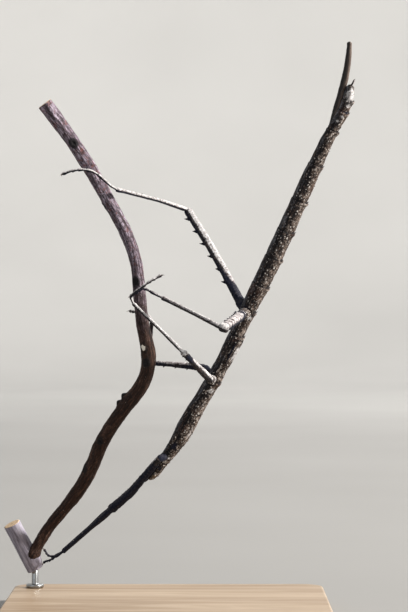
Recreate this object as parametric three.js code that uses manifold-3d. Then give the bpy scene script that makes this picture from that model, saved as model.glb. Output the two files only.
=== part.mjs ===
// A bark-like stick insect, a female about 210 mm long, clinging head down to a cut twig.
// The twig and a stub of a second stem are its perch, pinned to a flat display base.
//
// Millimetres, +Z up. The origin is the centre of the base's underside.
// The insect's right side faces -Y, its back faces +X and its belly faces the twig.

import * as THREE from 'three';
import { mergeVertices } from 'three/addons/utils/BufferGeometryUtils.js';
import Module from 'manifold-3d';

const wasm = await Module();
wasm.setup();

// ---------------------------------------------------------------- driving dimensions

const GAP = 0.3;

const BASE = { wide: 140, deep: 110, high: 8, corner: 9, chamfer: 1 };
const ROD = { radius: 1.5, foot: 4, footHigh: 1.6, into: 3 };

// The midline of head, thorax and abdomen, from the front of the head to the anal segment.
const MIDLINE = route(
  [-7.6, 4, 59.8],
  [0.2, -1, 70.8],
  [3.6, -3.4, 75.4],
  [11.8, -9, 90.4],
  [20.4, -14, 104.8],
  [34.7, -25, 134.2],
  [45.7, -32, 157.5],
  [61.9, -43.5, 193.8],
  [68.3, -47, 207.1],
  [73, -49.5, 215.1],
  [75.9, -52.5, 225.9],
);
const BACK = new THREE.Vector3(1, -0.12, -0.45);

// Each trunk piece: its name, its length along the midline, its radii at even steps, and
// how far the rear edge of its back stands up as a fraction of the radius.
const HEAD_LENGTH = 10.8;
const TRUNK = [
  ['prothorax', 8.8, [2.35, 2.8, 2.75, 3], 0.05],
  ['mesothorax', 35.3, [3.15, 3.8, 4, 3.75, 3.4, 3.35, 3.85], 0.14],
  ['metathorax', 23, [3.6, 3.2, 3.1, 3.35, 3.35], 0.06],
  ['median_segment', 12, [3.3, 3.15, 3.2, 3.4], 0.14],
  ['abdomen_2', 12.2, [3.3, 3.6, 3.8, 3.9], 0.15],
  ['abdomen_3', 13, [3.75, 3.95, 3.95, 3.95], 0.15],
  ['abdomen_4', 12.6, [3.75, 3.9, 3.85, 3.85], 0.14],
  ['abdomen_5', 14.2, [3.65, 3.65, 3.5, 3.5], 0.15],
  ['abdomen_6', 16.4, [3.3, 3.4, 3.35, 3.2], 0.18],
  ['abdomen_7', 15.8, [2.95, 2.95, 2.7, 2.55], 0.18],
  ['abdomen_8', 9, [2.35, 2.45, 2.45, 2.4], 0.35],
  ['abdomen_9', 4.8, [2.3, 2.35, 2.3], 0.45],
  ['abdomen_10', 6.6, [2.2, 2.25, 2.1, 1.5], 0.1],
];

// Stations along the midline where the pairs of legs join the trunk.
const COXA_STATION = { fore: 15.4, mid: 52.6, hind: 87.4 };

// Half widths of the limbs: near their root, half way, and at their far end.
const GIRTH = {
  fore: { femur: [1.35, 1.65, 1.6], tibia: [1.4, 0.9, 0.78], tarsus: 0.58 },
  mid: { femur: [1.5, 1.2, 1.3], tibia: [0.9, 0.76, 0.84], tarsus: 0.62 },
  hind: { femur: [1.95, 1.9, 1.85], tibia: [1.05, 0.92, 1], tarsus: 0.68 },
};

// Every leg as it is held: the hip where the coxa ends, the route of the femur to the
// knee, the route of the tibia to the ankle, the route of the foot, and the side that the
// femur's row of teeth faces.
const LEGS = {
  fore_right: {
    hip: [-3.2, -6.3, 69.4],
    femur: [[-7.9, -2, 63.6], [-14.9, 6, 54.6], [-24.6, 15.6, 45.6]],
    tibia: [[-36.6, 24.6, 34.6], [-47.8, 32.8, 24.4]],
    foot: [[-51, 34.4, 22.4], [-53.4, 35.4, 20.9], [-55, 36.6, 20.6]],
    teeth: { facing: [-0.7, 0, 0.7], count: 5, from: 0.35, to: 0.88, length: 0.55 },
  },
  fore_left: {
    hip: [-3.4, 3.6, 68.8],
    femur: [[-8.1, 7.2, 63.2], [-15.3, 12.8, 54.3], [-25.2, 20.4, 45.4]],
    tibia: [[-36.6, 28.8, 34.9], [-48, 37, 24.4]],
    foot: [[-52, 38.6, 22.4], [-54.4, 39.2, 23], [-55.5, 39.3, 25.2]],
    teeth: { facing: [-0.7, 0, 0.7], count: 5, from: 0.35, to: 0.88, length: 0.55 },
  },
  mid_right: {
    hip: [18.6, -20.6, 103.9],
    femur: [[13.2, -32, 109.8], [7.4, -44, 116]],
    tibia: [[-3.6, -41.6, 126.8], [-14, -38.4, 136.7]],
    foot: [[-14.6, -39.2, 138.6], [-12.6, -40.4, 140.6], [-6, -41, 145.3], [-2.4, -40.6, 147.2]],
    teeth: { facing: [-0.7, 0, -0.7], count: 4, from: 0.45, to: 0.9, length: 0.8 },
  },
  mid_left: {
    hip: [16.4, -8.4, 108.6],
    femur: [[3.8, -3.8, 109.8], [-8.8, 1, 110.6]],
    tibia: [[-6.6, -14.6, 119.8], [-5.8, -27.2, 129]],
    foot: [[-7.4, -27.4, 131.4], [-10.4, -27.6, 132.4], [-13.2, -29, 132.6], [-14.4, -31.6, 132.8]],
    teeth: { facing: [0, 0, -1], count: 4, from: 0.3, to: 0.9, length: 0.7 },
  },
  hind_right: {
    hip: [31.6, -32, 131.2],
    femur: [[29, -52, 129.4], [23.6, -73, 126.1]],
    tibia: [[10.8, -56.6, 132.6], [-1.8, -39.2, 138.7]],
    foot: [[-6, -38.1, 140.9], [-9, -38, 142.4], [-11, -38.1, 141.3], [-14, -37.2, 139.2]],
    teeth: { facing: [-0.7, 0, 0.7], count: 7, from: 0.12, to: 0.72, length: 1.1 },
  },
  hind_left: {
    hip: [31, -19.6, 137.4],
    femur: [[21.2, -14, 156], [8.9, -8, 176.1]],
    tibia: [[-6.2, -25, 180.4], [-21, -41, 183.2]],
    foot: [[-25.3, -41.4, 187], [-28.8, -41.4, 190], [-35, -41.4, 191.3], [-42, -40, 189.8]],
    teeth: { facing: [-0.9, 0, -0.5], count: 6, from: 0.22, to: 0.92, length: 1.2 },
  },
};

// The feelers lie forward between the fore legs.
const FEELERS = {
  antenna_right: [[-7.9, 3.3, 60.6], [-15, 8.95, 54.8], [-18.4, 12, 51.6]],
  antenna_left: [[-7.9, 4.9, 60.6], [-15, 9.8, 54.8], [-18.4, 12.8, 51.6]],
};
const FEELER = { root: 0.42, tip: 0.26 };

// The egg-guiding keel under the tail, which runs on past it to the insect's tip.
const OPERCULUM = {
  route: [[69.5, -47.4, 210.4], [71.8, -49.6, 217.9], [73.7, -52, 227.1], [75, -54, 235],
    [75.3, -55.5, 242.2]],
  radii: [0.7, 1.7, 1.65, 1.5, 1.32, 1.24, 1.16, 0.8],
};

// The perch: four lengths of the brown twig and a stub of the smooth stem it forks from.
const TWIG = {
  route: route(
    [-49.6, -41.5, 218.3],
    [-36.3, -38.5, 200.2],
    [-22.6, -35.7, 177],
    [-15.8, -34.5, 164.4],
    [-12, -34, 152.6],
    [-10.9, -33.3, 140.6],
    [-9.8, -31, 128.2],
    [-7, -24.6, 112],
    [-10.2, -19, 101.6],
    [-16.8, -11.6, 93],
    [-24, -3.4, 83.2],
    [-28.8, 3.8, 75.3],
    [-32.4, 11, 66],
    [-38.8, 20.4, 54.2],
    [-54.8, 35.4, 34.2],
    [-58.9, 37.6, 27.5],
    [-60.6, 37.4, 20.6],
  ),
  pieces: [
    ['perch_upper', 0.27, [3.1, 2.95, 2.85, 2.7, 2.6]],
    ['perch_middle', 0.46, [2.6, 2.5, 2.65, 2.75, 2.8]],
    ['perch_bend', 0.66, [2.8, 3, 3, 3.05, 3.05]],
    ['perch_lower', 1, [3.05, 3.05, 2.85, 2.6, 2.2]],
  ],
};
const STEM = { radius: 3.75, route: [[-70.2, 37, 37.1], [-65.4, 39.2, 27.5], [-60.2, 41.6, 16.6]] };

// Knots on the twig: the length they are on, distance along it, turn, radius and height.
const KNOTS = [
  ['perch_upper', 20, 0.5, 1.5, 0.8],
  ['perch_upper', 47, 1.5, 1.2, 0.6],
  ['perch_bend', 3.5, 0.6, 1.4, 0.5],
  ['perch_bend', 26, 1.9, 1.2, 0.9],
  ['perch_bend', 30, 1.9, 1.1, 0.8],
  ['perch_lower', 4, 0.3, 1.3, 0.5],
];

// ---------------------------------------------------------------- materials

const bark = new THREE.MeshStandardMaterial({ color: 0x6b6259, roughness: 0.92, metalness: 0 });
const paleBark = new THREE.MeshStandardMaterial({ color: 0x9d9590, roughness: 0.88, metalness: 0 });
const keel = new THREE.MeshStandardMaterial({ color: 0x4a423c, roughness: 0.85, metalness: 0 });
const eye = new THREE.MeshStandardMaterial({ color: 0x2c2119, roughness: 0.25, metalness: 0 });
const twigBark = new THREE.MeshStandardMaterial({ color: 0x4b342b, roughness: 0.95, metalness: 0 });
const stemBark = new THREE.MeshStandardMaterial({ color: 0x8b8790, roughness: 0.8, metalness: 0 });
const standWood = new THREE.MeshStandardMaterial({ color: 0xd6cdbf, roughness: 0.6, metalness: 0 });
const standSteel = new THREE.MeshStandardMaterial({ color: 0xb9bcc0, roughness: 0.35, metalness: 1 });

// ---------------------------------------------------------------- routes and solids

function route(...points) {
  const corners = points.map((point) => new THREE.Vector3(...point));
  return new THREE.CatmullRomCurve3(corners, false, 'centripetal');
}

// The point and directions at a distance along a route, carried on straight past its ends.
function frameAt(path, distance, up) {
  const length = path.getLength();
  const part = THREE.MathUtils.clamp(distance / length, 0, 1);
  const along = path.getTangentAt(part);
  const origin = path.getPointAt(part).addScaledVector(along, distance - part * length);
  const side = new THREE.Vector3().crossVectors(along, up).normalize();
  const top = new THREE.Vector3().crossVectors(side, along);
  return { origin, along, side, top };
}

// A point at a distance along a route, a turn round it from the top, and a reach from it.
function pointOn(frame, turn, reach) {
  return frame.origin.clone()
    .addScaledVector(frame.top, Math.cos(turn) * reach)
    .addScaledVector(frame.side, Math.sin(turn) * reach);
}

const evenly = (radii) => radii.map((radius, index) => [index / (radii.length - 1), radius]);

// A lathe-turned body laid along a route. The rings are pairs of a fraction of the way from
// one distance to the other and a radius; shape scales the radius by the turn and fraction;
// grow makes it larger all over, to cut a neighbour with a gap.
function turned(path, rings, { from = 0, to = path.getLength(), up, sides = 8, shape = () => 1, grow = 0 }) {
  const span = to - from;
  const profile = rings.map(([part, radius]) => new THREE.Vector2(radius, part * span));
  profile.unshift(new THREE.Vector2(0, 0));
  profile.push(new THREE.Vector2(0, span));
  const geometry = new THREE.LatheGeometry(profile, sides);
  const corners = geometry.attributes.position;
  const frames = new Map();
  for (let index = 0; index < corners.count; index += 1) {
    const part = corners.getY(index) / span;
    const turn = Math.atan2(corners.getX(index), corners.getZ(index));
    const radius = Math.hypot(corners.getX(index), corners.getZ(index));
    const reach = radius > 0 ? radius * shape(turn, part) + grow : 0;
    if (!frames.has(part)) {
      const push = grow * (2 * part - 1);
      frames.set(part, frameAt(path, from + part * span + push, up));
    }
    const corner = pointOn(frames.get(part), turn, reach);
    corners.setXYZ(index, corner.x, corner.y, corner.z);
  }
  return solid(geometry);
}

// The closed solid of a geometry, for joining and cutting.
function solid(geometry) {
  const bare = geometry.clone();
  bare.deleteAttribute('normal');
  bare.deleteAttribute('uv');
  const merged = mergeVertices(bare, 1e-4);
  const index = merged.index.array;
  const triVerts = [];
  for (let first = 0; first < index.length; first += 3) {
    const [a, b, c] = index.slice(first, first + 3);
    if (a !== b && b !== c && c !== a) triVerts.push(a, b, c);
  }
  const vertProperties = merged.attributes.position.array;
  const mesh = new wasm.Mesh({ numProp: 3, vertProperties, triVerts: new Uint32Array(triVerts) });
  return new wasm.Manifold(mesh);
}

function geometryOf(body) {
  const { vertProperties, triVerts } = body.getMesh();
  const geometry = new THREE.BufferGeometry();
  geometry.setAttribute('position', new THREE.BufferAttribute(vertProperties, 3));
  geometry.setIndex(new THREE.BufferAttribute(triVerts, 1));
  geometry.computeVertexNormals();
  return geometry;
}

const join = (first, ...rest) => rest.reduce((body, other) => body.add(other), first);

// What is left of a body after its neighbours are cut away, without any loose slivers.
function cut(first, ...rest) {
  const left = rest.reduce((body, other) => body.subtract(other), first);
  return left.decompose().sort((a, b) => b.volume() - a.volume())[0];
}

// A pointed cone standing on a surface, sunk into it a little.
function spike(foot, direction, length, radius, sides = 4) {
  const sunk = 0.5 * length;
  const cone = new THREE.ConeGeometry(radius, length + sunk, sides);
  cone.translate(0, (length - sunk) / 2, 0);
  const unit = direction.clone().normalize();
  cone.applyQuaternion(new THREE.Quaternion().setFromUnitVectors(new THREE.Vector3(0, 1, 0), unit));
  cone.translate(foot.x, foot.y, foot.z);
  return solid(cone);
}

// A spike on a turned body's surface at a distance along it, leaning along the route.
function thorn(path, up, distance, turn, surface, length, radius, lean = 0) {
  const frame = frameAt(path, distance, up);
  const foot = pointOn(frame, turn, surface);
  const outward = foot.clone().sub(frame.origin).normalize().addScaledVector(frame.along, lean);
  return spike(foot, outward, length, radius);
}

const insect = new THREE.Group();
const perch = new THREE.Group();
const stand = new THREE.Group();

function add(group, name, body, material) {
  const mesh = new THREE.Mesh(geometryOf(body), material);
  mesh.name = name;
  group.add(mesh);
}

// ---------------------------------------------------------------- trunk

const SLICES = [0, 0.14, 0.5, 0.8, 0.93, 1];

// A radius between the ones given at even steps.
function radiusAt(radii, part) {
  const place = part * (radii.length - 1);
  const before = Math.min(Math.floor(place), radii.length - 2);
  return THREE.MathUtils.lerp(radii[before], radii[before + 1], place - before);
}

// The rear edge of each ring of the back stands up as a low lobe; the belly is flatter.
function trunkShape(lobe) {
  return (turn, part) => {
    const back = Math.max(0, Math.cos(turn));
    const belly = Math.max(0, -Math.cos(turn));
    const rear = Math.exp(-(((part - 0.94) / 0.1) ** 2));
    return 1 + lobe * back ** 3 * rear - 0.06 * belly ** 2;
  };
}

function trunkPiece(radii, lobe, from, to, grow = 0) {
  const slices = radii.length > 4 ? [...SLICES, 0.32, 0.66].sort((a, b) => a - b) : SLICES;
  const rings = slices.map((part) => [part, radiusAt(radii, part)]);
  return turned(MIDLINE, rings, { from, to, up: BACK, sides: 12, shape: trunkShape(lobe), grow });
}

// The paired knobs that roughen the back like old bark: two near the rear edge of a ring,
// and on the long thoracic rings further pairs along them.
function knobs(name, radii, from, to) {
  const pairs = name === 'metathorax' ? 0 : Math.max(1, Math.round((to - from) / 11));
  const made = [];
  for (let pair = 0; pair < pairs; pair += 1) {
    const part = 0.86 - pair / (pairs + 0.3);
    for (const turn of [-0.55, 0.55]) {
      const surface = radiusAt(radii, part) * 0.95;
      made.push(thorn(MIDLINE, BACK, from + part * (to - from), turn, surface, 0.75, 0.7, 0.5));
    }
  }
  return made;
}

const cutters = {};
let station = HEAD_LENGTH;
for (const [name, length, radii, lobe] of TRUNK) {
  const from = station + GAP / 2;
  const to = station + length - GAP / 2;
  add(insect, name, join(trunkPiece(radii, lobe, from, to), ...knobs(name, radii, from, to)), bark);
  cutters[name] = trunkPiece(radii, lobe, from, to, GAP);
  station += length;
}

// ---------------------------------------------------------------- head, feelers, tail

// An egg-shaped head with a blunt brow and the mouthparts under its front.
const HEAD_RINGS = [[0, 0.75], [0.08, 1.35], [0.25, 1.95], [0.5, 2.3], [0.75, 2.3], [0.92, 2.05], [1, 1.75]];

function headBody(grow = 0) {
  const to = HEAD_LENGTH - GAP / 2;
  return turned(MIDLINE, HEAD_RINGS, { from: 0, to, up: BACK, sides: 12, grow });
}

const brow = [-0.75, 0.75].map((turn) => thorn(MIDLINE, BACK, 4.6, turn, 2, 1, 0.75, -0.3));
const jawFrame = frameAt(MIDLINE, 1.6, BACK);
const jawPath = new THREE.LineCurve3(
  pointOn(jawFrame, Math.PI, 0.3),
  pointOn(frameAt(MIDLINE, 0.3, BACK), Math.PI, 2.3),
);
const JAW_RINGS = [[0, 0.9], [0.5, 1], [0.85, 0.7], [1, 0.35]];
const jaws = (grow = 0) => turned(jawPath, JAW_RINGS, { up: jawFrame.along, sides: 8, grow });
add(insect, 'head', join(headBody(), ...brow, jaws()), bark);
cutters.head = join(headBody(GAP), jaws(GAP));

for (const [name, turn] of [['eye_left', 1.15], ['eye_right', -1.15]]) {
  const place = pointOn(frameAt(MIDLINE, 3.4, BACK), turn, 1.9);
  const globe = new THREE.SphereGeometry(0.85, 8, 6);
  globe.translate(place.x, place.y, place.z);
  add(insect, name, cut(solid(globe), cutters.head), eye);
}

for (const [name, points] of Object.entries(FEELERS)) {
  const rings = evenly([1, 0.8, 0.6, 0.4, 0.2, 0]).map(([part, left]) => (
    [part, THREE.MathUtils.lerp(FEELER.tip, FEELER.root, left)]
  ));
  const feeler = turned(route(...points), rings, { up: BACK, sides: 6 });
  add(insect, name, cut(feeler, cutters.head), paleBark);
}

// Two small leathery wing pads lie flat against the flanks of the metathorax.
const PAD = { from: 62, to: 76.5, turn: 0.62, reach: 3.1, radii: [0.5, 1.6, 2, 1.9, 1.3, 0.4] };
for (const [name, turn] of [['tegmen_left', PAD.turn], ['tegmen_right', -PAD.turn]]) {
  const points = [0, 0.5, 1].map((part) => {
    const distance = THREE.MathUtils.lerp(PAD.from, PAD.to, part);
    return pointOn(frameAt(MIDLINE, distance, BACK), turn, PAD.reach + 0.35 * part).toArray();
  });
  const outward = pointOn(frameAt(MIDLINE, 69, BACK), turn, 1).sub(frameAt(MIDLINE, 69, BACK).origin);
  const flat = (around) => Math.hypot(0.45 * Math.cos(around), Math.sin(around));
  const pad = turned(route(...points), evenly(PAD.radii), { up: outward, sides: 8, shape: flat });
  add(insect, name, cut(pad, cutters.metathorax), paleBark);
}

const tail = ['abdomen_7', 'abdomen_8', 'abdomen_9', 'abdomen_10'].map((name) => cutters[name]);
const keeled = (turn) => 1 + 0.22 * Math.max(0, -Math.cos(turn)) ** 4;
const guidePath = route(...OPERCULUM.route);
const guide = (grow = 0) => turned(guidePath, evenly(OPERCULUM.radii), { up: BACK, shape: keeled, grow });
add(insect, 'operculum', cut(guide(), ...tail), keel);

for (const [name, turn] of [['cercus_left', 0.8], ['cercus_right', -0.8]]) {
  const root = pointOn(frameAt(MIDLINE, station - 0.4, BACK), turn, 1);
  const tip = pointOn(frameAt(MIDLINE, station + 2.6, BACK), turn, 1.5);
  const rings = [[0, 0.45], [0.6, 0.42], [1, 0.2]];
  const cercus = turned(new THREE.LineCurve3(root, tip), rings, { up: BACK, sides: 6 });
  add(insect, name, cut(cercus, cutters.abdomen_10, guide(GAP)), paleBark);
}

// ---------------------------------------------------------------- perch and stand

// Twig bark is a little uneven all round.
const knurled = (turn, part) => 1 + 0.035 * Math.sin(3 * turn + 9 * part) + 0.03 * Math.sin(17 * part);
const FRONT = new THREE.Vector3(0.35, -1, 0.2);

function twigPiece(radii, from, to, grow = 0) {
  const slices = [0, 0.125, 0.25, 0.375, 0.5, 0.625, 0.75, 0.875, 1];
  const rings = slices.map((part) => [part, radiusAt(radii, part)]);
  return turned(TWIG.route, rings, { from, to, up: FRONT, sides: 10, shape: knurled, grow });
}

const stemPath = route(...STEM.route);
const stemRings = evenly([STEM.radius, STEM.radius, STEM.radius]);
const stemBody = (grow = 0) => turned(stemPath, stemRings, { up: FRONT, sides: 12, grow });
const perchCutters = [stemBody(GAP)];

let twigStart = 0;
for (const [name, share, radii] of TWIG.pieces) {
  const twigEnd = share * TWIG.route.getLength();
  const from = twigStart + GAP / 2;
  const to = twigEnd - GAP / 2;
  const onHere = KNOTS.filter((knot) => knot[0] === name).map(([, distance, turn, radius, height]) => (
    thorn(TWIG.route, FRONT, twigStart + distance, turn, 2.6, height + 0.6, radius, 0.2)
  ));
  add(perch, name, cut(join(twigPiece(radii, from, to), ...onHere), perchCutters[0]), twigBark);
  perchCutters.push(twigPiece(radii, from, to, GAP));
  twigStart = twigEnd;
}

const stemEnd = new THREE.Vector3(...STEM.route.at(-1));
const rodTop = stemEnd.z + ROD.into;
function rodBody(grow = 0) {
  const profile = [
    [0, BASE.high + GAP - grow],
    [ROD.foot + grow, BASE.high + GAP - grow],
    [ROD.foot + grow, BASE.high + ROD.footHigh + grow],
    [ROD.radius + grow, BASE.high + ROD.footHigh + 0.8 + grow],
    [ROD.radius + grow, rodTop + grow],
    [0, rodTop + grow],
  ];
  const rod = new THREE.LatheGeometry(profile.map(([radius, height]) => new THREE.Vector2(radius, height)), 12);
  rod.rotateX(Math.PI / 2);
  rod.translate(stemEnd.x, stemEnd.y, 0);
  return solid(rod);
}
add(perch, 'perch_stem', cut(stemBody(), rodBody(GAP)), stemBark);
add(stand, 'stand_rod', rodBody(), standSteel);

const plate = new THREE.Shape();
const halfWide = BASE.wide / 2 - BASE.chamfer;
const halfDeep = BASE.deep / 2 - BASE.chamfer;
const corner = BASE.corner - BASE.chamfer;
plate.moveTo(-halfWide + corner, -halfDeep);
plate.lineTo(halfWide - corner, -halfDeep);
plate.absarc(halfWide - corner, -halfDeep + corner, corner, -Math.PI / 2, 0);
plate.lineTo(halfWide, halfDeep - corner);
plate.absarc(halfWide - corner, halfDeep - corner, corner, 0, Math.PI / 2);
plate.lineTo(-halfWide + corner, halfDeep);
plate.absarc(-halfWide + corner, halfDeep - corner, corner, Math.PI / 2, Math.PI);
plate.lineTo(-halfWide, -halfDeep + corner);
plate.absarc(-halfWide + corner, -halfDeep + corner, corner, Math.PI, 1.5 * Math.PI);
const plateGeometry = new THREE.ExtrudeGeometry(plate, {
  depth: BASE.high - 2 * BASE.chamfer,
  curveSegments: 3,
  bevelSize: BASE.chamfer,
  bevelThickness: BASE.chamfer,
  bevelSegments: 1,
});
plateGeometry.translate(0, 0, BASE.chamfer);
add(stand, 'stand_base', solid(plateGeometry), standWood);

// ---------------------------------------------------------------- legs

// A direction well away from the limb's own, to set its upper side.
function upperSide(path) {
  const ends = path.points.at(-1).clone().sub(path.points[0]).normalize();
  return Math.abs(ends.z) > 0.75 ? new THREE.Vector3(1, 0, 0.3) : new THREE.Vector3(0.3, 0, 1);
}

function coxa(leg, girth, pair, grow = 0) {
  const socket = frameAt(MIDLINE, COXA_STATION[pair], BACK).origin;
  const path = new THREE.LineCurve3(socket, new THREE.Vector3(...leg.hip));
  const width = girth.femur[0];
  const rings = [[0, 1.25 * width], [0.6, 1.25 * width], [0.85, 1.1 * width], [1, 0.7 * width]];
  return turned(path, rings, { up: BACK, sides: 9, grow });
}

function femur(leg, girth, grow = 0) {
  const path = route(leg.hip, ...leg.femur);
  const [root, middle, knee] = girth.femur;
  const rings = [[0, 0.7 * root], [0.05, 0.95 * root], [0.12, 1.05 * root], [0.3, root], [0.6, middle],
    [0.85, middle], [0.94, knee], [0.985, knee], [1, 0.7 * knee]];
  return turned(path, rings, { up: upperSide(path), grow });
}

// A row of teeth along the femur, large and small by turns.
function femurTeeth(leg, girth) {
  const path = route(leg.hip, ...leg.femur);
  const up = upperSide(path);
  const facing = new THREE.Vector3(...leg.teeth.facing);
  const { count, from, to, length } = leg.teeth;
  return Array.from({ length: count }, (_, index) => {
    const distance = THREE.MathUtils.lerp(from, to, index / (count - 1)) * path.getLength();
    const frame = frameAt(path, distance, up);
    const turn = Math.atan2(facing.dot(frame.side), facing.dot(frame.top));
    const size = length * (index % 2 ? 0.8 : 1);
    return thorn(path, up, distance, turn, 0.92 * girth.femur[1], size, 0.5, 0.3);
  });
}

function tibia(leg, girth, grow = 0) {
  const path = route(leg.femur.at(-1), ...leg.tibia);
  const [knee, middle, ankle] = girth.tibia;
  const rings = [[0, 0.8 * knee], [0.06, knee], [0.14, knee], [0.4, middle], [0.88, middle], [0.95, ankle],
    [0.99, ankle], [1, 0.7 * ankle]];
  return turned(path, rings, { up: upperSide(path), sides: 7, grow });
}

// A foot has five joints, each a little swollen towards its far end, and two claws.
const FOOT_JOINTS = [0.42, 0.6, 0.74, 0.84, 1];

function tarsus(leg, girth) {
  const path = route(leg.tibia.at(-1), ...leg.foot);
  const rings = [[0, 0.9 * girth.tarsus]];
  let start = 0;
  for (const end of FOOT_JOINTS) {
    rings.push([THREE.MathUtils.lerp(start, end, 0.3), 0.82 * girth.tarsus]);
    rings.push([THREE.MathUtils.lerp(start, end, 0.9), 1.12 * girth.tarsus]);
    start = end;
  }
  rings.push([1, 0.7 * girth.tarsus]);
  const foot = turned(path, rings, { up: BACK, sides: 6 });
  const claws = [-1, 1].map((hand) => (
    thorn(path, BACK, path.getLength(), hand * Math.PI / 2, 0.2, 1.5, 0.35, 0.9)
  ));
  return join(foot, ...claws);
}

const trunkCutters = Object.values(cutters);
for (const [name, leg] of Object.entries(LEGS)) {
  const pair = name.split('_')[0];
  const girth = GIRTH[pair];
  const thigh = join(femur(leg, girth), ...femurTeeth(leg, girth));
  add(insect, `coxa_${name}`, cut(coxa(leg, girth, pair), ...trunkCutters), bark);
  add(insect, `femur_${name}`, cut(thigh, coxa(leg, girth, pair, GAP), ...trunkCutters), bark);
  add(insect, `tibia_${name}`, cut(tibia(leg, girth), femur(leg, girth, GAP), ...perchCutters), paleBark);
  add(insect, `tarsus_${name}`, cut(tarsus(leg, girth), tibia(leg, girth, GAP), ...perchCutters), paleBark);
}

const model = new THREE.Group();
model.name = 'stick_insect_model';
model.add(insect, perch, stand);
export default model;
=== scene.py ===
"""A bark-like stick insect clinging head down to a cut twig, on a plain display stand.

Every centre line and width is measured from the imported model's own meshes, in millimetres,
and the fine surface is grown over it: bark-like cuticle, spines, eyes, claws and twig bark.
"""
import math

import bpy
import numpy as np
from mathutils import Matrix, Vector


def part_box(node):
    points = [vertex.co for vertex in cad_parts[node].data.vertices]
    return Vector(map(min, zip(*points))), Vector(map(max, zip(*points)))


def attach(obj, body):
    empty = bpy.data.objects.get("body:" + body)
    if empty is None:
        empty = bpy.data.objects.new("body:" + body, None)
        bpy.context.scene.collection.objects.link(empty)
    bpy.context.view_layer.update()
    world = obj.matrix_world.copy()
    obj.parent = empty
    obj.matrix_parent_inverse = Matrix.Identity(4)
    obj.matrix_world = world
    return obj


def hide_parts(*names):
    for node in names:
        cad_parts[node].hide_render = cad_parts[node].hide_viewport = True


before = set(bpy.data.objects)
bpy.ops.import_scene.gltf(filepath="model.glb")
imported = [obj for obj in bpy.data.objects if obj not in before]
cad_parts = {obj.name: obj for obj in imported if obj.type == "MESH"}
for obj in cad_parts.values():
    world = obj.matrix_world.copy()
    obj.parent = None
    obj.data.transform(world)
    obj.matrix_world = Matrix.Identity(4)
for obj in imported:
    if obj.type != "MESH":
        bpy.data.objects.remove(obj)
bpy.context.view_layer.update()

MM = 0.001
FULL_TURN = 2 * math.pi

# ------------------------------------------------------------------ what to build

TRUNK_NODES = ["head", "prothorax", "mesothorax", "metathorax", "median_segment"]
TRUNK_NODES += [f"abdomen_{number}" for number in range(2, 11)]
TWIG_NODES = ["perch_upper", "perch_middle", "perch_bend", "perch_lower"]
LEGS = [f"{pair}_{side}" for pair in ("fore", "mid", "hind") for side in ("right", "left")]
LEG_PARTS = ("coxa", "femur", "tibia", "tarsus")

# The row of teeth on each femur: the way it faces, how many, where it starts and ends as a
# fraction of the femur, and how long the teeth are in millimetres.
TEETH = {
    "fore_right": ((-0.7, 0, 0.7), 11, 0.3, 0.9, 0.5),
    "fore_left": ((-0.7, 0, 0.7), 11, 0.3, 0.9, 0.5),
    "mid_right": ((-0.7, 0, -0.7), 5, 0.45, 0.92, 0.8),
    "mid_left": ((0, 0, -1), 4, 0.3, 0.9, 0.7),
    "hind_right": ((-0.7, 0, 0.7), 7, 0.12, 0.78, 1.3),
    "hind_left": ((-0.9, 0, -0.5), 6, 0.22, 0.92, 1.6),
}

# ------------------------------------------------------------------ vector helpers


def unit(vector):
    vector = np.asarray(vector, float)
    return vector / np.maximum(np.linalg.norm(vector, axis=-1, keepdims=True), 1e-9)


def smooth_step(low, high, value):
    part = np.clip((value - low) / (high - low), 0, 1)
    return part * part * (3 - 2 * part)


def bell(value, width):
    return np.exp(-((value / width) ** 2))


def even_turns(count):
    return np.arange(count) * FULL_TURN / count


def turned(turn, angle):
    """How far a turn lies from an angle, from half a turn back to half a turn on."""
    return (turn - angle + math.pi) % FULL_TURN - math.pi


def lengthwise(place, squeeze):
    """Places squeezed along the piece, so that a texture laid on them runs along it."""
    return place * np.array([1, 1, squeeze])


def lattice(cells, seed):
    """A repeatable number from 0 to 1 for each whole-numbered cell."""
    mixed = cells[..., 0] * 73856093 ^ cells[..., 1] * 19349663 ^ cells[..., 2] * 83492791
    mixed = (mixed ^ (seed * 2654435761)) & 0xFFFFFFFF
    mixed = (mixed ^ (mixed >> 15)) * 2246822519 & 0xFFFFFFFF
    mixed = (mixed ^ (mixed >> 13)) * 3266489917 & 0xFFFFFFFF
    return ((mixed ^ (mixed >> 16)) & 0xFFFFFF) / 0xFFFFFF


def noise(points, size, seed=0):
    """Smooth value noise from -1 to 1 with features about size across."""
    scaled = points / size
    cell = np.floor(scaled).astype(np.int64)
    part = scaled - cell
    part = part * part * (3 - 2 * part)
    total = np.zeros(len(points))
    for corner in np.ndindex(2, 2, 2):
        weight = np.prod(np.where(np.array(corner) == 1, part, 1 - part), axis=1)
        total += weight * lattice(cell + np.array(corner), seed)
    return 2 * total - 1


def fractal(points, size, seed=0, octaves=4):
    total = np.zeros(len(points))
    for octave in range(octaves):
        total += noise(points, size / 2**octave, seed + 17 * octave) / 1.7**octave
    return total / 1.8


def granules(points, cell_size, seed=0, fill=0.7):
    """Rounded grains from 0 to 1, about one in each cell, of many sizes."""
    scaled = points / cell_size
    cell = np.floor(scaled).astype(np.int64)
    best = np.zeros(len(points))
    for offset in np.ndindex(3, 3, 3):
        near = cell + np.array(offset) - 1
        place = near + np.stack([lattice(near, seed + axis) for axis in (1, 2, 3)], axis=1)
        size = 0.25 + 0.5 * lattice(near, seed + 4)
        present = lattice(near, seed + 5) < fill
        distance = np.linalg.norm(scaled - place, axis=1) / size
        best = np.maximum(best, np.where(present, np.clip(1 - distance**2, 0, 1) * size / 0.75, 0))
    return best


# ------------------------------------------------------------------ measuring the frame


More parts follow.
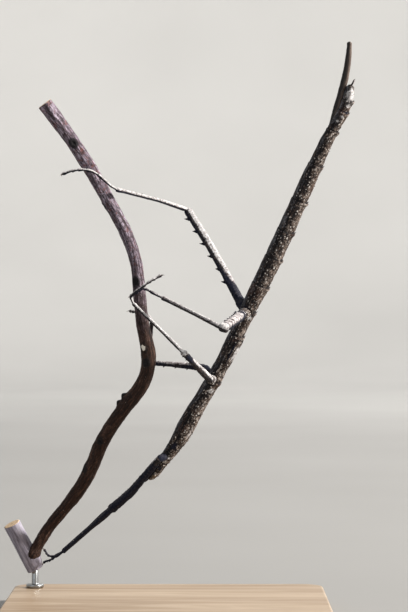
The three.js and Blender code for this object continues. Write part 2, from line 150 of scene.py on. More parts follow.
def node_mesh(name):
    """A CAD node's corners in millimetres, and its triangles."""
    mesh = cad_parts[name].data
    mesh.calc_loop_triangles()
    corners = np.empty(3 * len(mesh.vertices))
    mesh.vertices.foreach_get("co", corners)
    triangles = np.empty(3 * len(mesh.loop_triangles), int)
    mesh.loop_triangles.foreach_get("vertices", triangles)
    return corners.reshape(-1, 3) / MM, triangles.reshape(-1, 3)


def middle(name):
    low, high = (np.array(corner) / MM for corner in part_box(name))
    return (low + high) / 2


def long_axis(name, toward):
    """The direction in which a node is longest, turned to point roughly one way."""
    corners, _ = node_mesh(name)
    axis = np.linalg.svd(corners - corners.mean(axis=0), full_matrices=False)[2][0]
    return axis if axis @ np.asarray(toward) >= 0 else -axis


def outline_at(corners, triangles, level, cut):
    """The line pieces where a plane crosses a mesh: their middles and lengths."""
    above = level[triangles] > cut
    crossing = triangles[above.any(axis=1) & ~above.all(axis=1)]
    height = level[crossing] - cut
    ends = []
    for first, second in ((0, 1), (1, 2), (2, 0)):
        start, end = height[:, first], height[:, second]
        part = np.where(start * end < 0, start / np.where(start == end, 1, start - end), np.nan)
        low, high = corners[crossing[:, first]], corners[crossing[:, second]]
        ends.append(low + (high - low) * part[:, None])
    ends = np.stack(ends, axis=1)
    middles = np.nanmean(ends, axis=1)
    lengths = np.linalg.norm(np.nanmax(ends, axis=1) - np.nanmin(ends, axis=1), axis=1)
    return middles, lengths


# A round tube is this much wider than the flat-sided one that stands for it.
FACET_LOSS = 1.04


def slices(name, axis, steps, start=0.0, end=1.0):
    """Centres and half widths of a node at even steps along an axis, without its spines,
    and how far the first and last slice lie from the node's ends."""
    corners, triangles = node_mesh(name)
    axis = unit(axis)
    level = corners @ axis
    span = level.max() - level.min()
    centres, widths = [], []
    for part in start + (end - start) * (np.arange(steps) + 0.5) / steps:
        middles, lengths = outline_at(corners, triangles, level, level.min() + span * part)
        kept = np.ones(len(middles), bool)
        for _ in range(3):
            centre = np.average(middles[kept], axis=0, weights=lengths[kept])
            reach = np.linalg.norm(middles - centre, axis=1)
            order = np.argsort(reach)
            half = np.searchsorted(np.cumsum(lengths[order]), lengths.sum() / 2)
            kept = reach < 1.3 * reach[order[min(half, len(order) - 1)]] + 0.05
        centres.append(centre)
        widths.append(FACET_LOSS * np.average(reach[kept], weights=lengths[kept]))
    step = (end - start) / steps / 2
    return np.array(centres), np.array(widths), span * (start + step), span * (1 - end + step)


class Route:
    """A measured centre line with its half widths and an upper side, in millimetres."""

    def __init__(self, centres, widths, top, soften=1.2):
        centres, widths = np.asarray(centres, float), np.asarray(widths, float)
        gaps = np.linalg.norm(np.diff(centres, axis=0), axis=1)
        self.marks = np.concatenate([[0], np.cumsum(gaps)])
        step = 0.1
        count = max(8, int(self.marks[-1] / step))
        self.stations = np.linspace(0, self.marks[-1], count + 1)
        self.centres = self.smoothed(centres, count, soften)
        self.widths = self.smoothed(widths[:, None], count, soften)[:, 0]
        self.along = unit(np.gradient(self.centres, axis=0))
        self.side = unit(np.cross(self.along, np.asarray(top, float)))
        self.top = np.cross(self.side, self.along)
        self.length = self.stations[-1]

    def smoothed(self, values, count, soften):
        """Values at the marks carried to every station, with the corners rounded off."""
        reach = min(count, int(30 * soften))
        kernel = bell(np.arange(-reach, reach + 1) / 10, soften)
        lines = []
        for line in values.T:
            line = np.interp(self.stations, self.marks, line)
            before, after = 2 * line[0] - line[reach:0:-1], 2 * line[-1] - line[-2 : -reach - 2 : -1]
            padded = np.concatenate([before, line, after])
            lines.append(np.convolve(padded, kernel / kernel.sum(), "valid"))
        return np.stack(lines, axis=1)

    def mix(self, values, stations):
        inside = np.clip(stations, 0, self.length)
        return np.stack([np.interp(inside, self.stations, values[:, axis]) for axis in range(3)], axis=-1)

    def frame(self, stations):
        """Centre, direction, upward and sideways at each station, straight past the ends."""
        stations = np.asarray(stations, float)
        along = unit(self.mix(self.along, stations))
        over = stations - np.clip(stations, 0, self.length)
        centre = self.mix(self.centres, stations) + along * over[..., None]
        return centre, along, self.mix(self.top, stations), self.mix(self.side, stations)

    def at(self, station):
        return [part[0] for part in self.frame([station])]

    def nearest(self, place):
        return np.argmin(np.linalg.norm(self.centres - place, axis=1))

    def width(self, stations):
        return np.interp(stations, self.stations, self.widths)


# ------------------------------------------------------------------ growing a mesh


def ring_faces(rows, around):
    """The four-sided faces between neighbouring rings of corners."""
    ring = np.arange(around)
    after = (ring + 1) % around
    faces = []
    for low in range(0, (rows - 1) * around, around):
        high = low + around
        faces += np.stack([low + ring, low + after, high + after, high + ring], axis=1).tolist()
    return faces


def linked(name, data):
    made = bpy.data.objects.new(name, data)
    bpy.context.collection.objects.link(made)
    return made


def mesh_piece(name, corners, faces, materials, flat_faces=0):
    """A piece with smooth faces, apart from the first few where flat_faces says so."""
    mesh = bpy.data.meshes.new(name)
    mesh.from_pydata(np.asarray(corners).tolist(), [], faces)
    mesh.polygons.foreach_set("use_smooth", [False] * flat_faces + [True] * (len(faces) - flat_faces))
    for paint in materials:
        mesh.materials.append(paint)
    return linked(name, mesh)


class Growth:
    """Collects tubes and spines as one mesh with a colour guide at every corner.

    back runs from 1 on the upper side to -1 beneath, relief from -1 in a hollow to 1 on a
    grain, shade from -1 where the colour is darkest to 1 where it is palest, and grain is
    the place on the surface as if it were straightened out. The paints turn back and relief
    partly into painted light and shade, paler on the upper side and on grains, darker beneath
    and in hollows, and shade holds painted light and shadows as well as the thing's own tones."""

    GUIDES = ("back", "relief", "shade")

    def __init__(self):
        self.corners, self.faces, self.slots, self.grain = [], [], [], []
        self.guides = {guide: [] for guide in self.GUIDES}
        self.count = 0

    def add(self, corners, faces, slot, back, relief, shade, grain):
        self.faces += [tuple(int(index) + self.count for index in face) for face in faces]
        self.slots += [slot] * len(faces)
        self.corners.append(corners)
        self.grain.append(grain)
        for guide, values in zip(self.GUIDES, (back, relief, shade)):
            self.guides[guide].append(np.clip(np.broadcast_to(values, len(corners)), -1, 1))
        self.count += len(corners)

    def rings(self, rings, first, last, slot, back, relief, shade, grain):
        """Closed rings of corners joined up, with a point at each end."""
        around, rows = len(rings[0]), len(rings)
        ring = np.arange(around)
        after = (ring + 1) % around
        top, total = (rows - 1) * around, rows * around
        faces = ring_faces(rows, around)
        faces += zip(np.full(around, total), after, ring)
        faces += zip(np.full(around, total + 1), top + ring, top + after)
        corners = np.concatenate([np.reshape(rings, (-1, 3)), [first], [last]])
        self.add(corners, faces, slot, back, relief, shade, grain)

    def tube(self, route, start, end, step, around, shape, slot=0):
        """A closed tube along a route. shape(station, turn, width, place) gives the reach,
        relief and shade at each corner, where place is the straightened surface in mm."""
        rows = max(3, int(round((end - start) / step)) + 1)
        stations = np.linspace(start, end, rows)
        turns = even_turns(around)
        station, turn = (grid.ravel() for grid in np.meshgrid(stations, turns, indexing="ij"))
        width = route.width(station)
        place = np.stack([width * np.cos(turn), width * np.sin(turn), station], axis=1)
        reach, relief, shade = shape(station, turn, width, place)
        shade = np.broadcast_to(shade, len(station))
        relief = np.append(relief, [0, 0])
        centre, _, top, side = route.frame(station)
        corners = centre + (np.cos(turn) * reach)[:, None] * top + (np.sin(turn) * reach)[:, None] * side
        first, last = route.frame(np.array([start, end]))[0]
        grain = np.concatenate([place, [[0, 0, start], [0, 0, end]]])
        self.rings(corners.reshape(rows, around, 3), first, last, slot, np.append(np.cos(turn), [0, 0]),
                   relief, np.append(shade, [shade[0], shade[-1]]), grain)

    def thorn(self, foot, direction, length, width, slot=0, back=0.6, shade=0.0, hook=0.0,
              toward=(0, 0, 0), around=8, blunt=0.06):
        """A curved spine: it starts sunk in the surface and bends towards a direction."""
        foot, direction, toward = np.asarray(foot, float), unit(direction), np.asarray(toward, float)
        parts = np.array([-0.35, 0, 0.2, 0.45, 0.7, 0.88, 1.0])
        centres = foot + np.outer(parts * length, direction) + np.outer(hook * length * parts**2, toward)
        across = unit(np.cross(direction, [0.31, 0.52, 0.79]))
        other = np.cross(direction, across)
        widths = width * np.maximum([1.25, 1.1, 0.74, 0.52, 0.34, 0.2, 0.0], blunt)
        turns = even_turns(around)
        circle = np.outer(np.cos(turns), other) + np.outer(np.sin(turns), across)
        rings = [centre + size * circle for centre, size in zip(centres, widths)]
        relief = np.concatenate([np.repeat(np.linspace(0.1, 0.8, len(parts)), around), [0, 0.8]])
        places = np.concatenate([np.reshape(rings, (-1, 3)), centres[:1], centres[-1:]])
        self.rings(rings, centres[0], centres[-1], slot, back, relief, shade, places - foot)

    def make(self, name, materials):
        piece = mesh_piece(name, np.concatenate(self.corners) * MM, self.faces, materials)
        piece.data.polygons.foreach_set("material_index", self.slots)
        for guide, values in self.guides.items():
            layer = piece.data.attributes.new(guide, "FLOAT", "POINT")
            layer.data.foreach_set("value", np.concatenate(values))
        layer = piece.data.attributes.new("grain", "FLOAT_VECTOR", "POINT")
        layer.data.foreach_set("vector", np.concatenate(self.grain).ravel())
        return piece


def settle(piece, slot, *nodes):
    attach(piece, "root")
    if nodes:
        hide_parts(*nodes)


# ------------------------------------------------------------------ materials


class Paint:
    """A node material: colour, roughness and bump from textures laid along the grain."""

    def __init__(self, name):
        self.material = bpy.data.materials.new(name)
        self.material.use_nodes = True
        self.tree = self.material.node_tree
        self.tree.nodes.clear()
        self.place = self.guide("grain", "Vector")
        self.colour = None

    def add(self, kind, **settings):
        made = self.tree.nodes.new(kind)
        for name, value in settings.items():
            setattr(made, name, value)
        return made

    def join(self, source, target):
        self.tree.links.new(source, target)

    def feed(self, target, value):
        if isinstance(value, bpy.types.NodeSocket):
            self.join(value, target)
        else:
            target.default_value = value

    def guide(self, name, output="Fac"):
        return self.add("ShaderNodeAttribute", attribute_name=name).outputs[output]

    def object_place(self):
        return self.add("ShaderNodeTexCoord").outputs["Object"]

    def stretched(self, scale, place=None):
        mapping = self.add("ShaderNodeMapping")
        self.join(place or self.place, mapping.inputs["Vector"])
        mapping.inputs["Scale"].default_value = scale
        return mapping.outputs["Vector"]

    def noise(self, scale, detail=4.0, rough=0.6, place=None, warp=0.0):
        made = self.add("ShaderNodeTexNoise")
        self.join(place or self.place, made.inputs["Vector"])
        settings = {"Scale": scale, "Detail": detail, "Roughness": rough, "Distortion": warp}
        for name, value in settings.items():
            made.inputs[name].default_value = value
        return made.outputs["Fac"]

    def cells(self, scale, feature="F1", place=None):
        made = self.add("ShaderNodeTexVoronoi", feature=feature)
        self.join(place or self.place, made.inputs["Vector"])
        made.inputs["Scale"].default_value = scale
        return made.outputs["Distance"]

    def from_middle(self, place):
        """The distance from the upright line through the middle."""
        made = self.add("ShaderNodeVectorMath", operation="LENGTH")
        self.join(self.stretched((1, 1, 0), place), made.inputs[0])
        return made.outputs["Value"]

    def math(self, operation, first, second=0.0, third=0.0):
        made = self.add("ShaderNodeMath", operation=operation)
        for target, value in zip(made.inputs, (first, second, third)):
            self.feed(target, value)
        return made.outputs["Value"]

    def times(self, first, second):
        return self.math("MULTIPLY", first, second)

    def both(self, first, first_share, second, second_share):
        return self.math("MULTIPLY_ADD", first, first_share, self.times(second, second_share))

    def gloss(self, texture, dull, shiny):
        return self.span(texture, 0.3, 0.7, dull, shiny)

    def sway(self, value, texture, size):
        """A value moved up and down by a texture."""
        return self.math("ADD", value, self.math("MULTIPLY_ADD", texture, size, -size / 2))

    def span(self, value, low, high, out_low=0.0, out_high=1.0):
        made = self.add("ShaderNodeMapRange", interpolation_type="SMOOTHSTEP")
        ends = {"From Min": low, "From Max": high, "To Min": out_low, "To Max": out_high}
        for name, amount in ends.items():
            made.inputs[name].default_value = amount
        self.join(value, made.inputs["Value"])
        return made.outputs["Result"]

    def ramp(self, value, *stops):
        made = self.add("ShaderNodeValToRGB")
        bands = made.color_ramp.elements
        while len(bands) < len(stops):
            bands.new(0.5)
        for band, (place, *colour) in zip(bands, stops):
            band.position = place
            band.color = (*colour, 1)
        self.join(value, made.inputs["Fac"])
        return made.outputs["Color"]

    def mix(self, amount, first, second):
        made = self.add("ShaderNodeMix", data_type="RGBA")
        self.feed(made.inputs["Factor"], amount)
        for target, value in ((made.inputs["A"], first), (made.inputs["B"], second)):
            self.feed(target, (*value, 1) if isinstance(value, tuple) else value)
        return made.outputs["Result"]

    def over(self, amount, colour):
        """Lays a colour over the paint as far as the amount says."""
        self.colour = self.mix(amount, self.colour, colour)

    def finish(self, specular, roughness, height=None, depth=0.1, strength=0.6, metallic=0.0):
        """Joins the colour to a shader, with bumps as deep as depth in millimetres."""
        shader = self.add("ShaderNodeBsdfPrincipled")
        output = self.add("ShaderNodeOutputMaterial")
        self.join(shader.outputs["BSDF"], output.inputs["Surface"])
        self.join(self.colour, shader.inputs["Base Color"])
        shader.inputs["Specular IOR Level"].default_value = specular
        shader.inputs["Metallic"].default_value = metallic
        self.feed(shader.inputs["Roughness"], roughness)
        if height is not None:
            bump = self.add("ShaderNodeBump")
            bump.inputs["Strength"].default_value = strength
            bump.inputs["Distance"].default_value = depth * MM
            self.join(height, bump.inputs["Height"])
            self.join(bump.outputs["Normal"], shader.inputs["Normal"])
        return self.material


def trunk_paint():
    """Bark-like cuticle: charcoal flanks with brown mottling, and an ash-grey rough back. The charcoal
    is partly painted shade on the flank turned from the light, and the ash grey partly painted
    light on the back turned to it; raised grains are painted paler, partly as painted highlights,
    and hollows near black as painted shade.
    """
    paint = Paint("cuticle_trunk")
    fine = paint.noise(0.85, 8, 0.7, paint.stretched((1, 1, 0.6)), warp=0.9)
    blotch = paint.noise(0.26, 5, 0.68, paint.stretched((1, 1, 0.7)), warp=1.6)
    streaks = paint.noise(0.8, 7, 0.7, paint.stretched((1, 1, 0.2)))
    zones = paint.noise(0.16, 3, 0.5)
    grit = paint.noise(1.9, 5, 0.7, warp=0.6)
    specks = paint.cells(0.85)
    relief = paint.guide("relief")
    edge = paint.sway(paint.sway(paint.guide("back"), blotch, 4.4), fine, 2.2)
    flank = paint.ramp(paint.both(streaks, 0.55, fine, 0.45), (0.4, 0.005, 0.005, 0.007),
                       (0.5, 0.013, 0.011, 0.012), (0.56, 0.055, 0.037, 0.029), (0.66, 0.18, 0.13, 0.105))
    slate = paint.ramp(streaks, (0.36, 0.02, 0.021, 0.026), (0.5, 0.085, 0.085, 0.096),
                       (0.64, 0.19, 0.185, 0.195))
    dorsum = paint.ramp(fine, (0.38, 0.011, 0.008, 0.007), (0.46, 0.07, 0.048, 0.038),
                        (0.53, 0.17, 0.13, 0.108), (0.6, 0.34, 0.28, 0.245), (0.68, 0.62, 0.56, 0.52))
    # Painted light and shade: the flank turned from the light is painted charcoal, partly as painted shade,
    # and the back turned to it ash grey, partly as painted light.
    paint.colour = paint.mix(paint.span(edge, -0.35, -0.85), flank, slate)
    paint.over(paint.span(edge, -0.1, 0.8), dorsum)
    paint.over(paint.span(zones, 0.55, 0.68, 0.0, 0.35), (0.085, 0.035, 0.022))
    # Raised grains painted paler, most on the lit back: partly their own colour, partly a painted highlight.
    pale_peaks_and_highlight = paint.times(paint.span(relief, 0.35, 0.95), paint.span(edge, -0.3, 0.9, 0.06, 0.42))
    paint.over(pale_peaks_and_highlight, (0.52, 0.46, 0.42))
    paint.over(paint.span(grit, 0.5, 0.43, 0.0, 0.9), (0.012, 0.009, 0.009))
    border = paint.times(paint.span(edge, -0.5, -0.1), paint.span(edge, 1.1, 0.6, 0.25, 1.0))
    white = paint.times(paint.times(paint.span(specks, 0.36, 0.22), border), paint.span(grit, 0.44, 0.54))
    paint.over(white, (0.68, 0.63, 0.59))
    # Painted shade: hollows, grooves and the step behind each rear lobe are painted near black.
    paint.over(paint.span(relief, -0.1, -0.65, 0.0, 0.92), (0.007, 0.006, 0.007))
    follow_shade(paint, fine)
    return paint.finish(0.16, paint.gloss(fine, 0.9, 0.68), paint.both(fine, 0.8, specks, -0.5), 0.25, 0.75)


def follow_shade(paint, fine):
    """Turns the colour towards blue-black or towards ash white where the shade guide says. The guide
    holds the thing's own dark and pale parts as well as painted light and shade, so the ash white
    is also painted light and the blue-black also painted shade and painted shadows.
    """
    shade = paint.sway(paint.guide("shade"), fine, 1.0)
    dark = paint.ramp(fine, (0.35, 0.002, 0.003, 0.009), (0.54, 0.006, 0.008, 0.02),
                      (0.65, 0.03, 0.025, 0.028), (0.76, 0.13, 0.1, 0.085))
    pale = paint.ramp(fine, (0.36, 0.13, 0.118, 0.12), (0.5, 0.43, 0.41, 0.41), (0.62, 0.74, 0.73, 0.74))
    paint.over(paint.span(shade, -0.2, -0.75, 0.0, 0.94), dark)
    paint.over(paint.span(shade, 0.2, 0.8, 0.0, 0.9), pale)


def leg_paint():
    """Leg cuticle in uneven bands: ash grey on the upper side as painted light and blackish beneath
    as painted shade; keels and grains on the upper side are painted paler as painted highlights,
    and hollows near black as painted shade.
    """
    paint = Paint("cuticle_legs")
    fine = paint.noise(1.3, 7, 0.7, warp=0.5)
    bands = paint.noise(0.36, 4, 0.6, paint.stretched((0.3, 0.3, 0.8)))
    streaks = paint.noise(1.2, 6, 0.68, paint.stretched((1, 1, 0.25)))
    relief = paint.guide("relief")
    # The upper side is the side turned towards the key light: above is painted light, beneath is painted
    # shade.
    upper = paint.span(paint.sway(paint.guide("back"), streaks, 1.6), -0.1, 0.35)
    beneath = paint.ramp(fine, (0.38, 0.006, 0.006, 0.008), (0.58, 0.03, 0.026, 0.027),
                         (0.7, 0.13, 0.115, 0.11))
    above = paint.ramp(fine, (0.34, 0.08, 0.066, 0.066), (0.46, 0.28, 0.25, 0.255), (0.6, 0.6, 0.57, 0.575))
    paint.colour = paint.mix(upper, beneath, above)
    paint.over(paint.span(bands, 0.52, 0.6, 0.0, 0.75), (0.055, 0.038, 0.034))
    # Painted highlight: raised grains and keels on the upper side painted paler.
    paint.over(paint.times(paint.span(relief, 0.35, 0.95, 0.0, 0.5), upper), (0.62, 0.59, 0.57))
    # Painted shade: hollows, creases and folds painted near black.
    paint.over(paint.span(relief, -0.15, -0.7, 0.0, 0.9), (0.01, 0.008, 0.009))
    follow_shade(paint, fine)
    return paint.finish(0.14, paint.gloss(fine, 0.82, 0.6), paint.both(streaks, 0.5, fine, 0.5), 0.14, 0.65)


def horn_paint():
    """Smooth dark horn, browner and clearer towards an edge."""
    paint = Paint("horn")
    streaks = paint.noise(1.6, 5, 0.6, paint.stretched((1, 1, 0.12)))
    dark = paint.ramp(streaks, (0.35, 0.006, 0.006, 0.008), (0.65, 0.025, 0.02, 0.019))
    pale = paint.ramp(streaks, (0.35, 0.045, 0.032, 0.028), (0.65, 0.16, 0.12, 0.1))
    paint.colour = paint.mix(paint.span(paint.guide("back"), -0.6, 0.8), dark, pale)
    return paint.finish(0.25, paint.gloss(paint.noise(3.0), 0.6, 0.42), streaks, 0.1, 0.5)


def claw_paint():
    paint = Paint("claw")
    streaks = paint.noise(4.0, 3, 0.5)
    paint.colour = paint.ramp(streaks, (0.3, 0.02, 0.012, 0.009), (0.7, 0.11, 0.055, 0.032))
    return paint.finish(0.5, paint.gloss(streaks, 0.38, 0.25), streaks, 0.03, 0.3)


def eye_paint():
    """A compound eye: dark bronze under fine facets, with the false pupil's streaks."""
    paint = Paint("compound_eye")
    facets = paint.cells(11.0)
    bands = paint.noise(1.3, 3, 0.5, paint.stretched((1, 0.35, 1)))
    paint.colour = paint.ramp(bands, (0.35, 0.03, 0.018, 0.012), (0.55, 0.13, 0.085, 0.05),
                              (0.7, 0.24, 0.18, 0.12))
    return paint.finish(0.5, paint.span(facets, 0.1, 0.6, 0.16, 0.32), facets, 0.03, 0.5)


def twig_paint():
    """Twig bark: fissured and grey-lilac with rusty crusts near the top, dark brown lower. The cracks
    are painted darker, partly as painted shade, the knot holes near black as painted shade, and a
    painted shadow lies beside the scar.
    """
    paint = Paint("twig_bark")
    along = paint.add("ShaderNodeSeparateXYZ")
    paint.join(paint.place, along.inputs["Vector"])
    fine = paint.noise(1.6, 6, 0.68, warp=0.5)
    crust = paint.noise(0.5, 4, 0.6, warp=0.8)
    streaks = paint.noise(1.1, 6, 0.65, paint.stretched((1, 1, 0.13)), warp=0.5)
    grit = paint.noise(1.4, 5, 0.7, paint.stretched((1, 1, 0.5)), warp=0.8)
    cracks = paint.cells(0.9, "DISTANCE_TO_EDGE", paint.stretched((1, 1, 0.22)))
    shade = paint.guide("shade")
    lower = paint.span(paint.both(crust, 40.0, along.outputs["Z"], 1.0), 88, 132)
    grey = paint.ramp(streaks, (0.35, 0.045, 0.032, 0.04), (0.5, 0.14, 0.108, 0.135), (0.64, 0.4, 0.34, 0.41))
    brown = paint.ramp(streaks, (0.35, 0.01, 0.005, 0.004), (0.52, 0.036, 0.017, 0.012),
                       (0.7, 0.11, 0.06, 0.042))
    paint.colour = paint.mix(lower, grey, brown)
    rusty = paint.times(paint.span(crust, 0.53, 0.64), paint.math("SUBTRACT", 0.7, lower))
    paint.over(paint.math("MAXIMUM", rusty, 0.0), (0.15, 0.05, 0.042))
    # The cracks painted darker: partly the bark's own colour, partly painted shade.
    paint.over(paint.span(cracks, 0.07, 0.0, 0.0, 0.6), (0.025, 0.016, 0.014))
    dots = paint.times(paint.span(paint.cells(0.75), 0.17, 0.09), paint.span(fine, 0.45, 0.6, 0.0, 0.6))
    paint.over(dots, (0.42, 0.36, 0.31))
    paint.over(paint.span(grit, 0.5, 0.42, 0.0, 0.75), (0.012, 0.008, 0.008))
    # Painted shade: knot holes and other hollows painted near black.
    paint.over(paint.span(paint.guide("relief"), -0.2, -0.8), (0.008, 0.005, 0.004))
    # The shade guide's dark: the buds' and knots' own dark, and the painted shadow beside the scar.
    paint.over(paint.span(shade, -0.15, -0.7, 0.0, 0.92), (0.009, 0.008, 0.009))
    paint.over(paint.span(shade, 0.3, 0.6), (0.78, 0.74, 0.66))
    bumps = paint.both(paint.span(cracks, 0.0, 0.12), 0.7, fine, 0.7)
    return paint.finish(0.2, paint.gloss(fine, 0.95, 0.7), bumps, 0.25, 0.7)


def stem_paint():
    """Smooth grey-lilac bark with faint long streaks and dark scales."""
    paint = Paint("stem_bark")
    fine = paint.noise(1.4, 5)
    streaks = paint.noise(0.8, 5, 0.6, paint.stretched((1, 1, 0.15)))
    paint.colour = paint.ramp(streaks, (0.3, 0.075, 0.065, 0.08), (0.5, 0.24, 0.22, 0.27),
                              (0.7, 0.42, 0.4, 0.46))
    paint.over(paint.span(fine, 0.6, 0.72, 0.0, 0.7), (0.09, 0.075, 0.08))
    return paint.finish(0.3, paint.gloss(fine, 0.78, 0.6), fine, 0.12, 0.5)


def wood_cut_paint():
    """Fresh cut wood end with growth rings round the pith."""
    paint = Paint("cut_wood")
    distance = paint.from_middle(paint.place)
    wander = paint.math("MULTIPLY_ADD", paint.noise(0.6, 3), 0.8, distance)
    rings = paint.math("SINE", paint.times(wander, 11.0))
    paint.colour = paint.ramp(paint.math("MULTIPLY_ADD", rings, 0.5, 0.5), (0.2, 0.4, 0.27, 0.16),
                              (0.8, 0.62, 0.47, 0.31))
    paint.over(paint.span(distance, 0.5, 0.15), (0.16, 0.08, 0.045))
    return paint.finish(0.25, 0.75, rings, 0.05, 0.4)


def stand_wood_paint():
    """Pale satin-varnished board with long grain."""
    paint = Paint("stand_board")
    place = paint.object_place()
    grain = paint.noise(60.0, 6, 0.6, paint.stretched((0.12, 1.3, 1.3), place), warp=1.2)
    pores = paint.noise(900.0, 3, 0.6, paint.stretched((0.06, 1, 1), place))
    paint.colour = paint.ramp(grain, (0.3, 0.2, 0.135, 0.082), (0.5, 0.28, 0.2, 0.13),
                              (0.7, 0.36, 0.27, 0.185))
    paint.over(paint.span(pores, 0.58, 0.7, 0.0, 0.35), (0.22, 0.155, 0.1))
    return paint.finish(0.4, paint.gloss(grain, 0.48, 0.36), pores, 0.03, 0.25)


def steel_paint():
    """Satin steel with fine turning lines."""
    paint = Paint("stand_steel")
    lines = paint.noise(2200.0, 2, 0.5, paint.stretched((0.05, 0.05, 1), paint.object_place()))
    paint.colour = paint.ramp(lines, (0.3, 0.3, 0.31, 0.32), (0.7, 0.45, 0.46, 0.47))
    return paint.finish(0.5, paint.gloss(lines, 0.38, 0.26), lines, 0.01, 0.3, metallic=1.0)


def floor_paint():
    """A matt floor, somewhat darker round the stand than far off: painted shade that evens out the
    key lamp's bright pool of light near the stand.
    """
    paint = Paint("studio_floor")
    place = paint.object_place()
    soft = paint.noise(3.0, 2, 0.5, place)
    near = paint.ramp(soft, (0.3, 0.24, 0.237, 0.232), (0.7, 0.26, 0.257, 0.252))
    far = paint.ramp(soft, (0.3, 0.54, 0.535, 0.525), (0.7, 0.57, 0.565, 0.555))
    # The floor round the stand is painted darker as painted shade, against the key lamp's bright pool of
    # light there.
    paint.colour = paint.mix(paint.span(paint.from_middle(place), 1.0, 3.9), near, far)
    return paint.finish(0.1, 0.9)


# ------------------------------------------------------------------ trunk


def trunk_route():
    """The body's route from the front of the head to its last ring, and the joints on it."""
    middles = [middle(name) for name in TRUNK_NODES]
    centres, widths, leads, tails, firsts = [], [], [], [], []
    for index, name in enumerate(TRUNK_NODES):
        before, after = middles[max(index - 1, 0)], middles[min(index + 1, len(middles) - 1)]
        steps = 8 if name in ("mesothorax", "metathorax", "head") else 4
        found, sizes, lead, tail = slices(name, after - before, steps, 0.1, 0.82)
        firsts.append(len(centres))
        centres += list(found)
        widths += list(sizes)
        leads.append(lead)
        tails.append(tail)
    tip = centres[-1] + unit(centres[-1] - centres[-2]) * tails[-1] * 0.6
    nose = centres[0] - unit(centres[1] - centres[0]) * leads[0]
    centres = np.array([nose, *centres, tip])
    widths = np.array([widths[0] * 0.95, *widths, widths[-1] * 0.85])
    pads = (middle("tegmen_left") + middle("tegmen_right")) / 2
    nearest = np.argmin(np.linalg.norm(centres - pads, axis=1))
    route = Route(centres, widths, pads - centres[nearest], soften=2.6)
    joints = []
    for lead, tail, first in zip(leads[1:], tails, firsts[1:]):
        low, high = route.marks[first], route.marks[first + 1]
        joints.append(low + (high - low) * tail / (tail + lead))
    return route, np.array(joints)


def hip_sockets(route):
    """Where each coxa leaves the trunk: station, turn and half width."""
    sockets = []
    for leg in LEGS:
        place = middle(f"coxa_{leg}")
        nearest = route.nearest(place)
        out = place - route.centres[nearest]
        turn = math.atan2(out @ route.side[nearest], out @ route.top[nearest]) % FULL_TURN
        sockets.append((route.stations[nearest], turn, 2.3 if "hind" in leg else 1.9))
    return sockets


# Patches of the trunk that are paler (above 0) or darker: station, turn, half length,
# half width and strength, in millimetres and radians.
TRUNK_PATCHES = (
    (4.5, -1.2, 1.6, 0.55, 0.9), (12.5, -1.4, 0.9, 0.4, 0.95), (15.0, -1.0, 0.8, 0.35, 0.8),
    (8.5, -1.3, 1.3, 0.6, -0.9), (21.0, -1.5, 2.5, 0.5, -0.8), (30.0, -0.6, 5.0, 0.3, 0.5),
    (44.0, -0.8, 4.0, 0.3, 0.35), (51.0, -0.9, 1.2, 0.4, 0.9), (54.5, -1.2, 0.8, 0.3, 0.8),
    (88.0, -0.8, 1.2, 0.4, 0.8),
    (55.5, -1.6, 2.2, 0.6, -0.7), (91.0, -1.9, 2.5, 0.6, -0.6), (190.6, -0.8, 3.2, 1.2, 0.85),
    (186.0, -0.9, 0.8, 0.45, 0.9), (183.2, -0.8, 0.45, 0.8, -0.9), (181.3, -1.2, 0.8, 0.4, 0.8),
    (178.8, -1.5, 0.6, 0.35, 0.7),
)


